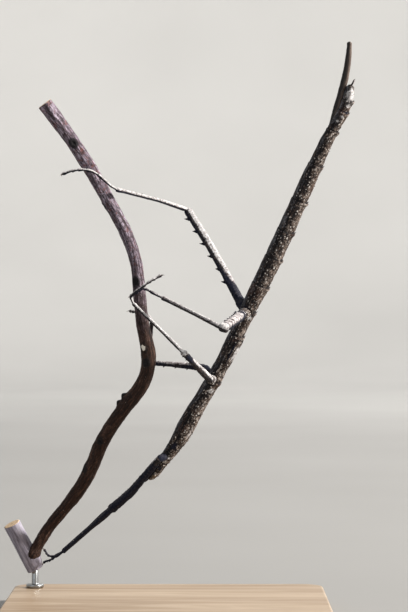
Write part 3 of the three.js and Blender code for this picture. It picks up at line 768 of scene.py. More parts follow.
def trunk_shape(route, joints):
    """The reach of the trunk's surface: rings, rear lobes, keels, wrinkles and grains."""
    sockets = hip_sockets(route)

    def shape(station, turn, width, place):
        back = np.cos(turn)
        upper = np.clip(back, 0, 1)
        from_back = np.minimum(turn, FULL_TURN - turn)
        reach = width * (1 - 0.07 * np.clip(-back, 0, 1) ** 2)
        relief = np.zeros(len(station))
        uneven = 0.5 * noise(lengthwise(place, 0.2), 2.0, 3)
        for joint in joints:
            ahead = station - joint - 0.35 * uneven
            reach += 0.1 * bell(ahead + 0.7, 0.5) - 0.13 * bell(ahead, 0.3) - 0.05 * bell(ahead - 1, 0.9)
            relief += 0.35 * bell(ahead + 0.6, 0.4) - 0.95 * bell(ahead, 0.22)
        for index, joint in enumerate(joints[2:]):
            ahead = station - (joint - 0.1) - 0.5 * uneven
            leaf = np.where(ahead < 0, bell(ahead, 1.7), bell(ahead, 0.22))
            across = bell(from_back - 0.38, 0.3) + 0.4 * bell(from_back, 0.2)
            height = 0.55 + 0.55 * lattice(np.array([[index, 5, 2]]), 9)[0]
            reach += height * leaf * across
            # The deep hollow just behind each lobe is painted by the trunk paint as a dark line: a painted
            # shadow.
            relief += 0.5 * leaf * across - 1.1 * bell(ahead - 0.55, 0.4) * across
        for centre, angle, size in sockets:
            away = np.abs(turned(turn, angle)) * width
            distance = np.hypot(station - centre, away)
            reach += 0.85 * bell(distance, size) - 0.25 * bell(distance - 1.25 * size, 0.3)
            relief += -0.7 * bell(distance - 1.2 * size, 0.3) + 0.3 * bell(distance, size)
        keel = bell(from_back, 0.1)
        flank = bell(from_back - 1.75, 0.09)
        reach += keel * (0.1 + 0.06 * noise(place, 1.6, 31)) - 0.1 * flank
        relief -= 0.6 * flank
        stretched = lengthwise(place, 0.22)
        wrinkle = fractal(stretched, 1.3, 5)
        furrow = (1 - np.abs(noise(stretched, 1.1, 6))) ** 4
        lumps = fractal(place, 6.0, 11, 2)
        plates = granules(lengthwise(place, 0.55), 2.1, 13, 0.5)
        coarse = granules(place, 1.3, 21, 0.5)
        fine = granules(place, 0.7, 41, 0.6)
        rough = 0.3 + 0.7 * upper
        reach += 0.12 * wrinkle + 0.17 * lumps - 0.1 * furrow
        reach += rough * (0.2 * plates + 0.2 * coarse + 0.1 * fine)
        relief += rough * (0.8 * coarse + 0.5 * fine + 0.3 * plates) + 0.2 * wrinkle - 0.6 * furrow
        shade = np.zeros(len(station))
        for centre, angle, long, wide, strength in TRUNK_PATCHES:
            away = turned(turn, angle)
            shade += strength * bell(station - centre, long) * bell(away, wide)
        snout = np.clip(station / 2.4, 0, 1)
        tail = np.clip((route.length + 0.6 - station) / 1.8, 0, 1)
        closing = np.sqrt(1 - (1 - snout) ** 2) * np.sqrt(1 - (1 - tail) ** 2)
        return reach * np.maximum(closing, 0.02), relief, shade

    return shape


def thorn_on(growth, route, station, turn, surface, length, width, lean=0.3, slot=0, shade=0.0):
    """A thorn standing on a route's surface and leaning along it."""
    centre, along, top, side = route.at(station)
    outward = math.cos(turn) * top + math.sin(turn) * side
    growth.thorn(centre + surface * outward, outward + lean * along, length, width, slot,
                 math.cos(turn), shade, 0.25, along)


def grow_trunk(growth, route, joints):
    growth.tube(route, 0, route.length + 0.6, 0.25, 112, trunk_shape(route, joints))
    rng = np.random.default_rng(7)
    station = 12.0
    while station < joints[-3]:
        turn = rng.normal(0, 0.8)
        surface = route.width(station) * 0.98
        thorn_on(growth, route, station, turn, surface, rng.uniform(0.3, 0.7), rng.uniform(0.2, 0.36), 0.4)
        station += rng.uniform(0.7, 2.1)
    for joint in joints[2:]:
        for turn in (-0.45, 0.45):
            surface = route.width(joint) + 0.35
            length = rng.uniform(0.5, 1.0)
            thorn_on(growth, route, joint - 0.3, turn, surface, length, 0.42, 0.9, 0, -0.5)


def grow_head(growth, route):
    """Brow knobs, the upper lip, jaws and the feelers of the mouth."""
    for side in (-1, 1):
        thorn_on(growth, route, 4.6, 0.6 * side, route.width(4.6) * 0.95, 0.95, 0.55, -0.2)
        thorn_on(growth, route, 7.6, 0.8 * side, route.width(7.6) * 0.97, 0.6, 0.45, 0.1)
        centre, along, top, across = route.at(1.0)
        mouth = centre - 1.45 * top + 0.55 * side * across
        growth.thorn(mouth, -0.8 * along - 0.6 * top, 1.1, 0.55, 0, -0.2, -0.3, 0.2, top)
        palp = centre - 1.5 * top + 1.05 * side * across
        growth.thorn(palp, -0.5 * along - 0.85 * top + 0.15 * side * across, 1.9, 0.28, 1, 0.5, 0.0,
                     0.35, -along, blunt=0.4)
    centre, along, top, _ = route.at(0.9)
    growth.thorn(centre - 1.15 * top, -along - 0.35 * top, 1.0, 0.75, 0, 0.2, 0.0, 0.2, -top)


# ------------------------------------------------------------------ legs


# How dark (below 0) or pale (above 0) each leg is as a whole. The left hind leg's paleness partly
# widens the painted light on its upper side, and the left mid leg's darkness is partly painted
# shade, for the shadow it lies in.
LEG_SHADE = {
    "fore_right": -0.95, "fore_left": -0.95, "mid_right": 0.35, "mid_left": -0.25, "hind_right": -0.5,
    "hind_left": 0.4,
}
# How much whiter each leg is painted on its upper side, as painted light, and blacker beneath,
# as painted shade.
LEG_PAINTED_LIGHT_AND_SHADE = {
    "fore_right": 0.1, "fore_left": 0.1, "mid_right": 0.6, "mid_left": 0.25, "hind_right": 0.35,
    "hind_left": 1.3,
}
# Dark or pale bands: the part of the leg, where the band's middle lies as a fraction of it,
# its half width there, and its strength. Some are painted light and shade rather than the leg's
# own bands: the dark band near the right mid knee is a painted cast shadow, the dark roots of
# the left mid and left hind femora are painted shade, the hind one the abdomen's shadow, and the
# pale ring at the right hind femur's root is a painted highlight.
LEG_BANDS = {
    "fore_right": (("femur", 0.02, 0.08, 0.9), ("tibia", 0.5, 0.5, -0.3)),
    "fore_left": (("tibia", 0.5, 0.5, -0.3),),
    # The dark band near the knee is a painted cast shadow.
    "mid_right": (("femur", 0.82, 0.09, -2.8), ("femur", 1.0, 0.06, 1.0), ("tibia", 0.02, 0.06, 0.6)),
    # The dark root is painted shade.
    "mid_left": (("femur", 0.05, 0.2, -1.2), ("femur", 0.8, 0.15, -0.4)),
    # The pale ring at the femur's root is a painted highlight.
    "hind_right": (("femur", 0.12, 0.08, -1.3), ("femur", 0.0, 0.05, 0.6), ("femur", 0.98, 0.09, 0.9),
                   ("tibia", 0.4, 0.45, 0.8)),
    # The dark root of the femur is the abdomen's painted shadow.
    "hind_left": (("femur", 0.04, 0.22, -3.0), ("femur", 0.55, 0.25, 0.4), ("tibia", 0.95, 0.08, -0.5)),
}


def leg_shade(name, piece, part, turn):
    # The leg's own tone, with painted light on the upper side and painted shade beneath, and its bands, some
    # of them painted shadows and a painted highlight.
    shade = LEG_SHADE[name] + LEG_PAINTED_LIGHT_AND_SHADE[name] * np.clip(1.6 * np.cos(turn), -1, 1)
    for where, centre, width, strength in LEG_BANDS[name]:
        if where == piece:
            shade += strength * bell(part - centre, width)
    return np.clip(shade, -1, 1)


# The side of a leg turned towards the key light; the leg paint puts its painted light there.
def upper_side(direction):
    return (1, 0, 0.3) if abs(unit(direction)[2]) > 0.75 else (0.3, 0, 1)


def limb_route(name, start, steps, past=0.5, first=0.1, soften=0.8):
    """A limb piece's route, from a given start through its slices to its far end."""
    centres, widths, _, tail = slices(name, long_axis(name, middle(name) - start), steps, first, 0.96)
    last = centres[-1] + unit(centres[-1] - centres[-2]) * tail * past
    centres = np.concatenate([[start], centres, [last]])
    widths = np.concatenate([widths[:1], widths, widths[-1:]])
    return Route(centres, widths, upper_side(centres[-1] - centres[0]), soften)


def rounded(station, start, end, near, far):
    """Closes a tube in a round end at both ends."""
    first = np.clip((station - start) / near, 0, 1)
    second = np.clip((end - station) / far, 0, 1)
    return np.maximum(np.sqrt(1 - (1 - first) ** 2) * np.sqrt(1 - (1 - second) ** 2), 0.03)


def keels(turn, part, height):
    """Four low keels that run along a leg and fade out at its root."""
    ridge = np.abs(np.cos(2 * turn + math.pi / 2)) ** 3
    return height * (ridge - 0.35) * smooth_step(0.05, 0.2, part)


def femur_shape(name, route):
    def shape(station, turn, width, place):
        part = station / route.length
        ridges = keels(turn, part, 0.16)
        knee = bell(part - 0.96, 0.035)
        rough = 1.7 if "fore" in name else 1.0
        grains = rough * granules(place, 0.65, 61, 0.6)
        wrinkle = rough * fractal(lengthwise(place, 0.3), 1.2, 63)
        crease = bell(part - 0.915, 0.012) + bell(station - 1.9, 0.22)
        reach = width * (1 + ridges + 0.18 * knee * np.abs(np.sin(turn)))
        folds = np.clip(np.sin(1.7 * station + 2.5 * noise(place, 2.5, 65)) - 0.6, 0, 1)
        folds *= 2.4 if name == "hind_right" else 1.0
        reach += 0.07 * wrinkle + 0.1 * grains - 0.12 * crease - 0.12 * folds
        relief = 0.5 * grains + 0.3 * wrinkle + 3.0 * np.clip(ridges, 0, 1) - crease - 1.1 * folds
        reach *= rounded(station, -0.6, route.length + 0.6, 1.2, 1.4)
        return reach, relief, leg_shade(name, "femur", part, turn)

    return shape


def tibia_shape(name, route):
    def shape(station, turn, width, place):
        part = station / route.length
        ridges = keels(turn, part, 0.18)
        neck = bell(station - 1.6, 0.6)
        ankle = bell(part - 0.975, 0.03)
        grains = granules(place, 0.55, 71, 0.55)
        wrinkle = fractal(lengthwise(place, 0.3), 1.0, 73)
        reach = width * (1 + ridges - 0.1 * neck + 0.1 * ankle) + 0.05 * wrinkle + 0.06 * grains
        relief = 0.4 * grains + 0.3 * wrinkle + 2.5 * np.clip(ridges, 0, 1) - 0.6 * neck
        reach *= rounded(station, -0.3, route.length + 0.4, 0.9, 0.7)
        return reach, relief, leg_shade(name, "tibia", part, turn)

    return shape


# Where the five joints of a foot begin and end, as fractions of its length.
FOOT_JOINTS = (0.0, 0.42, 0.6, 0.74, 0.84, 1.0)


def tarsus_shape(name, route, girth):
    """Five foot joints, each narrow at its root, flared at its end and padded beneath."""
    def shape(station, turn, width, place):
        part = np.clip(station / route.length, 0, 1)
        reach = np.full(len(station), girth)
        relief = np.zeros(len(station))
        for first, second in zip(FOOT_JOINTS, FOOT_JOINTS[1:]):
            inside = (part >= first) & (part <= second)
            local = (part - first) / (second - first)
            flare = 0.8 + 0.34 * smooth_step(0.1, 0.85, local) - 0.3 * smooth_step(0.9, 1.0, local)
            pad = 0.16 * np.clip(-np.cos(turn), 0, 1) * bell(local - 0.82, 0.16)
            reach = np.where(inside, girth * (flare + pad), reach)
            relief -= np.where(inside, 0.9 * bell(local - 1.0, 0.07), 0)
        reach += 0.04 * fractal(place, 0.7, 81)
        reach *= rounded(station, -0.2, route.length + 0.2, 0.4, 0.45)
        return reach, relief, leg_shade(name, "tarsus", part, turn) - 0.25

    return shape


# How dark or pale the hip piece of each right leg is.
COXA_SHADE = {"fore": -0.95, "mid": 0.55, "hind": 0.25}


def coxa_shape(name, route):
    # The left hip pieces are painted blue-black as painted shade, for the body's shadow over them.
    pale = COXA_SHADE[name.split("_")[0]] if "right" in name else -0.9

    def shape(station, turn, width, place):
        grains = granules(place, 0.8, 91, 0.6)
        wrinkle = fractal(place, 1.4, 93)
        rings = bell(route.length - station - 1.3, 0.2) + bell(route.length - station - 0.6, 0.15)
        reach = width * (1 + 0.05 * wrinkle) + 0.15 * grains - 0.14 * rings
        relief = 0.8 * grains + 0.3 * wrinkle - 1.2 * rings
        return reach * rounded(station, 0, route.length, 0.2, 1.6), relief, pale - 1.6 * rings

    return shape


def grow_claws(claws, route):
    """A pair of hooked claws and the sticky pad between them at a foot's tip."""
    centre, along, top, side = route.at(route.length)
    for hand in (-1, 1):
        root = centre + 0.28 * hand * side - 0.1 * along
        claws.thorn(root, along + 0.75 * hand * side, 1.5, 0.24, 0, 0.3, 0.0, 0.55, -top)
    claws.thorn(centre - 0.15 * top, along - 0.35 * top, 0.75, 0.34, 1, -0.3, 0.0, 0.1, -top, blunt=0.5)


def grow_teeth(growth, route, name):
    facing, count, first, last, length = TEETH[name]
    rng = np.random.default_rng(len(name) + count)
    width = 0.75 if "hind" in name else 0.36
    for station in np.linspace(first, last, count) * route.length:
        _, _, top, side = route.at(station)
        turn = math.atan2(np.dot(facing, side), np.dot(facing, top))
        size = length * rng.uniform(0.65, 1.05)
        surface = route.width(station) * 0.97
        thorn_on(growth, route, station, turn, surface, size, width, 0.45, 1, -0.95)
        thorn_on(growth, route, station + rng.uniform(0.4, 1.1), turn + rng.uniform(0.9, 1.7), surface,
                 0.5 * size, 0.26, 0.4, 1, -0.95)


def grow_leg(growth, claws, trunk, name):
    coxa, femur, tibia, tarsus = (f"{part}_{name}" for part in LEG_PARTS)
    hip_middle = middle(coxa)
    nearest = trunk.nearest(hip_middle)
    axis = long_axis(femur, middle(femur) - hip_middle)
    centres, widths, lead, tail = slices(femur, axis, 14, 0.06, 0.97)
    hip = centres[0] - unit(centres[1] - centres[0]) * lead
    knee = centres[-1] + unit(centres[-1] - centres[-2]) * tail
    reach_out = unit(hip - trunk.centres[nearest])
    out = Route(np.array([trunk.centres[nearest], (trunk.centres[nearest] + hip) / 2, hip + 0.9 * reach_out]),
                widths[1] * np.array([1.25, 1.25, 1.1]), trunk.top[nearest], soften=0.4)
    growth.tube(out, 0, out.length, 0.2, 36, coxa_shape(name, out), slot=0)
    thigh = Route(np.array([hip, *centres, knee]), np.array([widths[1], widths[1], *widths[1:], widths[-1]]),
                  upper_side(knee - hip), 0.8)
    growth.tube(thigh, -0.6, thigh.length + 0.6, 0.2, 36, femur_shape(name, thigh), slot=1)
    grow_teeth(growth, thigh, name)
    surface = thigh.width(thigh.length) * 0.95
    for hand in (-1, 1):
        thorn_on(growth, thigh, thigh.length - 1.0, hand * 1.2, surface, 0.7, 0.42, 0.7, 1, LEG_SHADE[name])
    shin = limb_route(tibia, knee, 12)
    growth.tube(shin, -0.3, shin.length + 0.4, 0.2, 32, tibia_shape(name, shin), slot=1)
    rng = np.random.default_rng(len(name))
    for station in np.arange(0.12, 0.96, 0.09) * shin.length:
        thorn_on(growth, shin, station, rng.uniform(0, FULL_TURN), shin.width(station) * 0.95,
                 rng.uniform(0.25, 0.5), 0.19, 0.8, 1, -0.4)
    ankle = shin.at(shin.length)[0]
    foot = limb_route(tarsus, ankle, 12, past=0.8, first=0.04, soften=0.5)
    girth = float(np.median(foot.widths))
    growth.tube(foot, -0.2, foot.length + 0.2, 0.1, 26, tarsus_shape(name, foot, girth), slot=1)
    grow_claws(claws, foot)


# ------------------------------------------------------------------ build the insect

TRUNK_PAINT, LEG_PAINT = trunk_paint(), leg_paint()
HORN_PAINT, CLAW_PAINT, EYE_PAINT = horn_paint(), claw_paint(), eye_paint()
TWIG_PAINT, STEM_PAINT, CUT_PAINT = twig_paint(), stem_paint(), wood_cut_paint()

trunk, trunk_joints = trunk_route()
skin, claws = Growth(), Growth()
grow_trunk(skin, trunk, trunk_joints)
grow_head(skin, trunk)
for leg in LEGS:
    grow_leg(skin, claws, trunk, leg)

flesh = TRUNK_NODES + [f"{part}_{leg}" for part in LEG_PARTS for leg in LEGS]
settle(skin.make("insect_skin", [TRUNK_PAINT, LEG_PAINT]), "cuticle", *flesh)
settle(claws.make("insect_claws", [CLAW_PAINT, LEG_PAINT]), "horn")


def plain_shape(route, near, far, rough=0.02, seed=0):
    """A nearly smooth tube with round ends."""
    def shape(station, turn, width, place):
        wrinkle = fractal(place, 1.2, seed)
        reach = (width + rough * wrinkle) * rounded(station, 0, route.length, near, far)
        return reach, 0.3 * wrinkle, 0.0

    return shape


def feeler(side):
    """A feeler is a string of short rings on a thicker first joint."""
    start = trunk.at(1.0)[0]
    route = limb_route(f"antenna_{side}", start, 14)

    def shape(station, turn, width, place):
        beat = 0.5 + 0.5 * np.cos(FULL_TURN * station / 1.1)
        root = 1 + 0.7 * bell(station - 2.6, 0.8)
        reach = width * root * (0.86 + 0.2 * beat) * rounded(station, 0, route.length, 0.3, 0.6)
        return reach, 0.8 * beat - 0.5, -0.3

    rings = Growth()
    rings.tube(route, 0, route.length, 0.11, 14, shape)
    settle(rings.make(f"feeler_{side}", [LEG_PAINT]), "pale_cuticle", f"antenna_{side}")


def eye(side):
    """A low dome on the cheek."""
    place = middle(f"eye_{side}")
    centre = trunk.centres[trunk.nearest(place)]
    outward = unit(place - centre)
    ends = np.array([place - 0.75 * outward, place + 0.55 * outward])
    route = Route(ends, np.array([1.0, 1.0]), trunk.top[0], 0.1)
    dome = Growth()
    dome.tube(route, 0, route.length, 0.05, 40, plain_shape(route, 0.1, 0.95, 0.0))
    settle(dome.make(f"eye_lens_{side}", [EYE_PAINT]), "eye", f"eye_{side}")


def cercus(side):
    """A short blunt feeler beside the last ring."""
    root = trunk.at(trunk.length - 0.8)[0]
    route = limb_route(f"cercus_{side}", root, 3)
    tip = Growth()
    tip.tube(route, 0, route.length, 0.08, 18, plain_shape(route, 0.2, 0.7, 0.03, 3))
    settle(tip.make(f"cercus_tip_{side}", [LEG_PAINT]), "pale_cuticle", f"cercus_{side}")


# Where a wing pad's long veins lie across it, from -1 to 1.
PAD_VEINS = (-0.55, -0.2, 0.15, 0.5)


def wing_pad(side):
    """A leathery wing pad with a thick front edge and branching veins, close to the back."""
    name = f"tegmen_{side}"
    corners, _ = node_mesh(name)
    centre = corners.mean(axis=0)
    nearest = trunk.nearest(centre)
    along = trunk.along[nearest]
    outward = centre - trunk.centres[nearest]
    outward = unit(outward - (outward @ along) * along)
    across = np.cross(outward, along)
    half_long = 1.02 * np.abs((corners - centre) @ along).max()
    half_wide = 1.05 * np.abs((corners - centre) @ across).max()
    rows, columns = 70, 30
    u, v = (grid.ravel() for grid in np.meshgrid(np.linspace(-1, 1, rows), np.linspace(-1, 1, columns),
                                                 indexing="ij"))
    outline = np.sqrt(np.clip(1 - np.abs(u) ** 2.6, 0, 1)) * (0.84 + 0.16 * u) + 0.012
    flat = centre + np.outer(u * half_long, along) + np.outer(v * outline * half_wide, across)
    station = np.interp(flat @ along, trunk.centres @ along, trunk.stations)
    middles = trunk.frame(station)[0]
    radial = unit(flat - middles)
    veins = sum(bell(v - offset * (1 - 0.35 * u) - 0.06 * np.sin(5 * u), 0.05) for offset in PAD_VEINS)
    cross = bell(np.sin(9 * math.pi * u + 4 * v), 0.16)
    rim = smooth_step(0.86, 1.0, np.maximum(np.abs(v), np.abs(u) ** 3))
    lift = trunk.width(station) + 0.72 + 0.25 * smooth_step(0.1, 1.0, u)
    upper = middles + radial * (lift + 0.1 * veins + 0.04 * cross - 0.12 * rim)[:, None]
    lower = middles + radial * (lift - 0.6)[:, None]
    grid = np.arange(rows * columns).reshape(rows, columns)
    total = rows * columns
    quads = [(grid[r, c], grid[r + 1, c], grid[r + 1, c + 1], grid[r, c + 1])
             for r in range(rows - 1) for c in range(columns - 1)]
    under = [tuple(total + index for index in reversed(quad)) for quad in quads]
    border = [*grid[0, :], *grid[1:, -1], *grid[-1, -2::-1], *grid[-2:0:-1, 0]]
    wall = [(first, second, second + total, first + total)
            for first, second in zip(border, border[1:] + border[:1])]
    # The underside's low relief is darkened by the trunk paint as painted shade.
    relief = np.append(veins - 0.3, np.full(total, -0.5))
    along_pad, across_pad = np.tile(u * half_long, 2), np.tile(v * half_wide, 2)
    place = np.column_stack([along_pad, across_pad, np.repeat([0, 1.0], total)])
    # Painted light and shade: a painted highlight along the pad's upper edge, and painted shade along its
    # lower edge.
    dorsal = np.sum(radial * trunk.frame(station)[2], axis=1)
    dorsal = 2 * (dorsal - dorsal.min()) / np.ptp(dorsal) - 1
    pale = 1.7 * smooth_step(0.0, 0.45, dorsal) * bell(u - 0.15, 0.4)
    shade = np.tile(pale - 1.1 * smooth_step(-0.45, -0.8, dorsal), 2)
    pad = Growth()
    pad.add(np.concatenate([upper, lower]), quads + under + wall, 0, 0.35, relief, shade, place)
    settle(pad.make(f"wing_pad_{side}", [TRUNK_PAINT]), "pale_cuticle", name)


def egg_guide():
    """The long keeled guide under the tail: a folded trough that runs out to a blunt tip."""
    root = trunk.at(trunk_joints[-3] - 2.0)[0]
    route = limb_route("operculum", root, 22, past=1.0)
    route.side = unit(np.cross(route.along, trunk.top[-1]))
    route.top = np.cross(route.side, route.along)
    guide = Growth()

    def shape(station, turn, width, place):
        keel = 0.2 * np.clip(-np.cos(turn), 0, 1) ** 6
        hollow = 0.3 * np.clip(np.cos(turn), 0, 1) ** 4
        ribs = fractal(lengthwise(place, 0.2), 0.9, 15)
        grains = granules(place, 0.8, 19, 0.5)
        lips = bell(np.abs(np.sin(turn)) - 0.9, 0.1) * np.clip(np.cos(turn) + 0.3, 0, 1)
        cradle = 0.5 * np.clip(np.cos(turn), 0, 1) * bell(station / route.length - 0.3, 0.22)
        reach = width * (1.06 + keel - hollow + cradle + 0.06 * lips) + 0.06 * ribs + 0.08 * grains
        reach *= rounded(station, 0, route.length, 1.0, 0.8)
        return reach, 0.4 * ribs + 0.5 * lips, 0.0

    guide.tube(route, 0, route.length, 0.16, 36, shape)
    settle(guide.make("egg_guide", [HORN_PAINT]), "horn", "operculum")


for side in ("left", "right"):
    feeler(side)
    eye(side)
    cercus(side)
    wing_pad(side)
egg_guide()

# ------------------------------------------------------------------ perch

STICK_TOP = (0.35, -1, 0.2)
DOWN = (0, 0, -1)


def perch_route(stem):
    """The twig's route from its cut top to where it grows out of the stem."""
    centres, widths = [], []
    for name in TWIG_NODES:
        found, sizes, lead, tail = slices(name, long_axis(name, DOWN), 10, 0.04, 0.96)
        if not centres:
            first = found[0] - unit(found[1] - found[0]) * lead
        centres += list(found)
        widths += list(sizes)
    foot = centres[-1] + unit(centres[-1] - centres[-2]) * (tail + 1.5)
    inside = stem.centres[stem.nearest(foot)]
    widths = [widths[0], *widths, widths[-1], widths[-1]]
    return Route([first, *centres, foot, inside], widths, STICK_TOP, soften=2.2)


# Knots on the twig: station from its top, turn, half width and height, and how deep its
# middle is sunk, all in millimetres.
KNOTS = (
    (20.0, 0.4, 2.0, 0.75, 1.0),
    (49.0, 1.9, 1.7, 0.55, 0.4),
    (84.0, 0.8, 2.2, 0.5, 0.9),
    (118.5, 0.7, 2.0, 0.7, 0.5),
    (142.0, 1.9, 1.25, 1.5, 0.0),
    (146.3, 1.9, 1.1, 1.3, 0.0),
    (167.0, 0.6, 1.9, 0.4, 1.0),
    (186.0, 1.4, 2.2, 0.5, 0.3),
)

# Where a side shoot broke off the twig and left pale wood: station and turn.
SCAR = (111.5, 0.95)


def twig_shape(route):
    def shape(station, turn, width, place):
        stretched = lengthwise(place, 0.16)
        fissures = 1 - np.abs(fractal(stretched, 1.5, 101))
        lumps = fractal(place, 7.0, 103, 2)
        flakes = granules(lengthwise(place, 0.45), 1.3, 105, 0.45)
        fine = granules(place, 0.7, 107, 0.5)
        reach = width + 0.24 * lumps + 0.18 * fissures**3 + 0.1 * flakes + 0.05 * fine - 0.12
        reach += 0.8 * smooth_step(route.length - 8, route.length - 4, station)
        reach *= rounded(station, -1, route.length, 0.5, 2.0)
        relief = 0.35 * flakes + 0.3 * fine - 0.15
        shade = np.zeros(len(station))
        for centre, angle, size, height, sunk in KNOTS:
            away = np.abs(turned(turn, angle)) * width
            distance = np.hypot((station - centre) * 0.8, away) / size
            pit = bell(distance, 0.36) * sunk
            reach += height * bell(distance, 0.95) - (0.9 * height + 0.35) * pit
            relief -= 2.2 * pit
            shade -= (0.5 + 0.7 * height) * bell(distance - 0.4, 0.6)
        away = np.abs(turned(turn, SCAR[1])) * width
        torn = np.hypot(station - SCAR[0], 1.3 * away) + 0.25 * noise(place, 0.5, 111)
        reach += 0.55 * bell(torn, 1.5) - 0.35 * bell(torn, 0.7)
        shade += 1.8 * bell(torn, 1.15) - 0.7 * bell(torn - 2.0, 0.7)
        # A painted shadow: a dark strip beside the scar, where the side shoot splits off.
        painted_shadow_strip = turned(turn, SCAR[1] - 1.6)
        shade -= 0.9 * bell(painted_shadow_strip, 0.3) * bell(station - SCAR[0] + 5, 4)
        return reach, relief, shade

    return shape


def cut_end(name, route, station, facing):
    """The sawn end of a stick: a flat disc with growth rings, bevelled at its rim."""
    centre, along, top, side = route.at(station)
    rings = 10
    turns = -facing * even_turns(48)
    circle = np.outer(np.cos(turns), top) + np.outer(np.sin(turns), side)
    flat = np.stack([np.cos(turns), np.sin(turns), 0 * turns], axis=1)
    rows, places = [], []
    for ring in range(1, rings + 1):
        reach = route.width(station) * ring / rings
        height = 0.12 * (1 - smooth_step(0.9, 1.0, ring / rings)) + 0.015 * math.sin(3.1 * ring)
        rows.append(centre + reach * circle + facing * height * along)
        places.append(reach * flat)
    places.append(np.zeros((2, 3)))
    disc = Growth()
    disc.rings(rows, centre + facing * 0.12 * along, centre - facing * 0.3 * along, 0, 0.0, 0.0, 0.0,
               np.concatenate(places))
    settle(disc.make(name, [CUT_PAINT]), "twig_bark")


def stem_route():
    axis = long_axis("perch_stem", DOWN)
    centres, _, lead, tail = slices("perch_stem", axis, 8, 0.04, 0.8)
    _, widths, _, _ = slices("perch_stem", axis, 4, 0.3, 0.7)
    heading = unit(centres[-1] - centres[0])
    ends = [centres[0] - heading * lead, centres[-1] + heading * tail]
    return Route([ends[0], *centres, ends[1]], np.full(len(centres) + 2, np.median(widths)), STICK_TOP, 2.0)


def stem_shape(route, twig):
    """A smooth stem with a swollen collar round the foot of the twig."""
    root = twig.centres[-1]
    nearest = route.nearest(root)
    out = twig.centres[-1 - round(4 / (twig.stations[1] - twig.stations[0]))] - root
    facing = math.atan2(out @ route.side[nearest], out @ route.top[nearest])

    def shape(station, turn, width, place):
        streaks = fractal(lengthwise(place, 0.15), 2.0, 121)
        lumps = fractal(place, 6.0, 123, 2)
        away = np.abs(turned(turn, facing)) * width
        collar = bell(np.hypot(station - route.stations[nearest], away), 3.6)
        reach = width + 0.08 * streaks + 0.14 * lumps + 1.5 * collar
        return reach, 0.3 * streaks - 0.5 * collar, 0.0

    return shape


stem = stem_route()
twig = perch_route(stem)
bark, smooth_bark = Growth(), Growth()
bark.tube(twig, 0, twig.length, 0.3, 80, twig_shape(twig))
settle(bark.make("twig_bark", [TWIG_PAINT]), "twig_bark", *TWIG_NODES)
smooth_bark.tube(stem, 0, stem.length, 0.3, 72, stem_shape(stem, twig))
settle(smooth_bark.make("stem_bark", [STEM_PAINT]), "stem_bark", "perch_stem")
cut_end("twig_cut", twig, 0.0, -1)
cut_end("stem_cut_top", stem, 0.0, -1)
cut_end("stem_cut_foot", stem, stem.length, 1)

# ------------------------------------------------------------------ stand


def closed_piece(name, rows, paint, slot, node):
    """Level outlines joined up and closed with a flat face at the bottom and the top."""
    count = len(rows[0])
    caps = [tuple(reversed(range(count))), tuple(range((len(rows) - 1) * count, len(rows) * count))]
    piece = mesh_piece(name, np.concatenate(rows) * MM, caps + ring_faces(len(rows), count), [paint], 2)
    settle(piece, slot, node)


def rounded_board():
    """The base: a board with round corners and softened edges, of the CAD board's size."""
    low, high = (np.array(corner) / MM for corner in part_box("stand_base"))
    corner, edge = 9.0, 1.1
    centre, half = (high + low) / 2, (high - low) / 2
    quarter = np.linspace(0, math.pi / 2, 13)
    turns = np.concatenate([quarter + side * math.pi / 2 for side in range(4)])
    inner = np.repeat([(1, 1), (-1, 1), (-1, -1), (1, -1)], 13, axis=0) * (half[:2] - corner)
    out = np.stack([np.cos(turns), np.sin(turns)], axis=1)
    bend = np.linspace(0, math.pi / 2, 7)
    profile = [(-edge, low[2]), *zip(edge * np.sin(bend) - edge, low[2] + edge - edge * np.cos(bend))]
    profile += [*zip(edge * np.cos(bend) - edge, high[2] - edge + edge * np.sin(bend))]
    rows = []
    for inset, height in profile[1:]:
        flat = centre[:2] + inner + (corner + inset) * out
        rows.append(np.column_stack([flat, np.full(len(flat), height)]))
    closed_piece("display_board", rows, stand_wood_paint(), "stand_wood", "stand_base")


def turned_rod():
    """The steel rod with its small foot flange, turned on a lathe."""
    low, high = (np.array(corner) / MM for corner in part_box("stand_rod"))
    centre, flange = (low + high) / 2, (high[0] - low[0]) / 2
    radius, foot, tip = 1.5, low[2], high[2]
    profile = [(flange - 0.2, foot), (flange, foot + 0.2), (flange, foot + 0.9)]
    profile += [(flange - 0.5 + 0.5 * math.cos(a), foot + 0.9 + 0.5 * math.sin(a)) for a in (0.5, 1.0, 1.5)]
    profile += [(radius + 0.6 - 0.6 * math.sin(a), foot + 2.0 - 0.6 * math.cos(a))
                for a in (0.2, 0.7, 1.2, 1.57)]
    profile += [(radius, tip - 0.2), (radius - 0.2, tip)]
    turns = even_turns(48)
    circle = np.stack([np.cos(turns), np.sin(turns)], axis=1)
    rows = [np.column_stack([centre[:2] + reach * circle, 0 * turns + height]) for reach, height in profile]
    closed_piece("display_rod", rows, steel_paint(), "stand_steel", "stand_rod")


rounded_board()
turned_rod()

# ------------------------------------------------------------------ studio


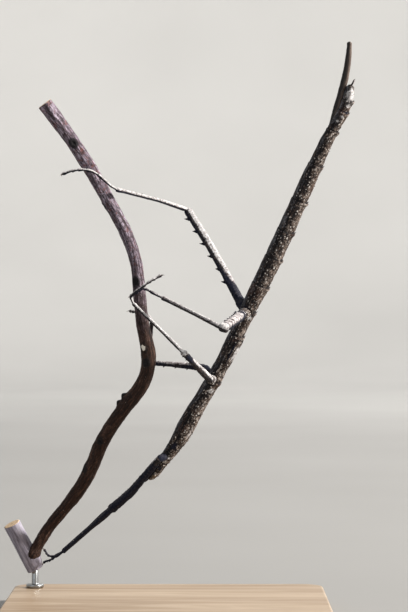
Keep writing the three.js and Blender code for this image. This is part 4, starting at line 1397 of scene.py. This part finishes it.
def studio():
    """A plain pale floor that sweeps up into a wall all round."""
    inner, rise, height = 2.6, 1.6, 4.0
    profile = [(0.6, 0.0), (1.4, 0.0), (inner, 0.0)]
    profile += [(inner + rise * math.sin(a), rise - rise * math.cos(a))
                for a in np.linspace(0.1, math.pi / 2, 16)]
    profile.append((inner + rise, height))
    turns = even_turns(96)
    rows = [np.column_stack([reach * np.cos(turns), reach * np.sin(turns), 0 * turns + level])
            for reach, level in profile]
    faces = [tuple(range(len(turns)))]
    faces += [face[::-1] for face in ring_faces(len(rows), len(turns))]
    floor = mesh_piece("studio_floor", np.concatenate(rows), faces, [floor_paint()], 1)


def lamp(name, place, size, power, colour, aim):
    light = bpy.data.lights.new(name, "AREA")
    light.shape = "DISK"
    light.size = size
    light.energy = power
    light.color = colour
    holder = linked(name, light)
    holder.location = place
    holder.rotation_euler = (Vector(aim) - Vector(place)).to_track_quat("-Z", "Y").to_euler()


SUBJECT = Vector((0.016, -0.025, 0.135))
WALL = (0.0, 4.2, 0.7)
studio()
lamp("key", (2.3, -0.7, 1.6), 0.5, 200, (1.0, 0.965, 0.91), SUBJECT)
lamp("fill", (-1.5, -2.2, 1.3), 2.0, 13, (0.82, 0.91, 1.0), SUBJECT)
lamp("rim", (1.0, 2.0, 1.4), 1.2, 24, (1.0, 0.98, 0.95), SUBJECT)
lamp("wash", (0.0, 0.9, 2.6), 1.6, 66, (1.0, 0.99, 0.97), WALL)
world = bpy.data.worlds.new("studio_air")
world.use_nodes = True
background = world.node_tree.nodes["Background"]
background.inputs["Color"].default_value = (1, 1, 1, 1)
background.inputs["Strength"].default_value = 0.25
bpy.context.scene.world = world
bpy.context.scene.view_settings.view_transform = "Standard"

# ------------------------------------------------------------------ camera

CAMERA_DISTANCE = 0.9
FRAME_HEIGHT = 0.257
view = bpy.data.cameras.new("camera")
view.sensor_fit = "VERTICAL"
view.angle = 2 * math.atan(FRAME_HEIGHT / 2 / CAMERA_DISTANCE)
view.clip_start = 0.01
camera = linked("camera", view)
camera.location = SUBJECT - Vector((0, CAMERA_DISTANCE, 0))
camera.rotation_euler = (math.pi / 2, 0, 0)
bpy.context.scene.camera = camera
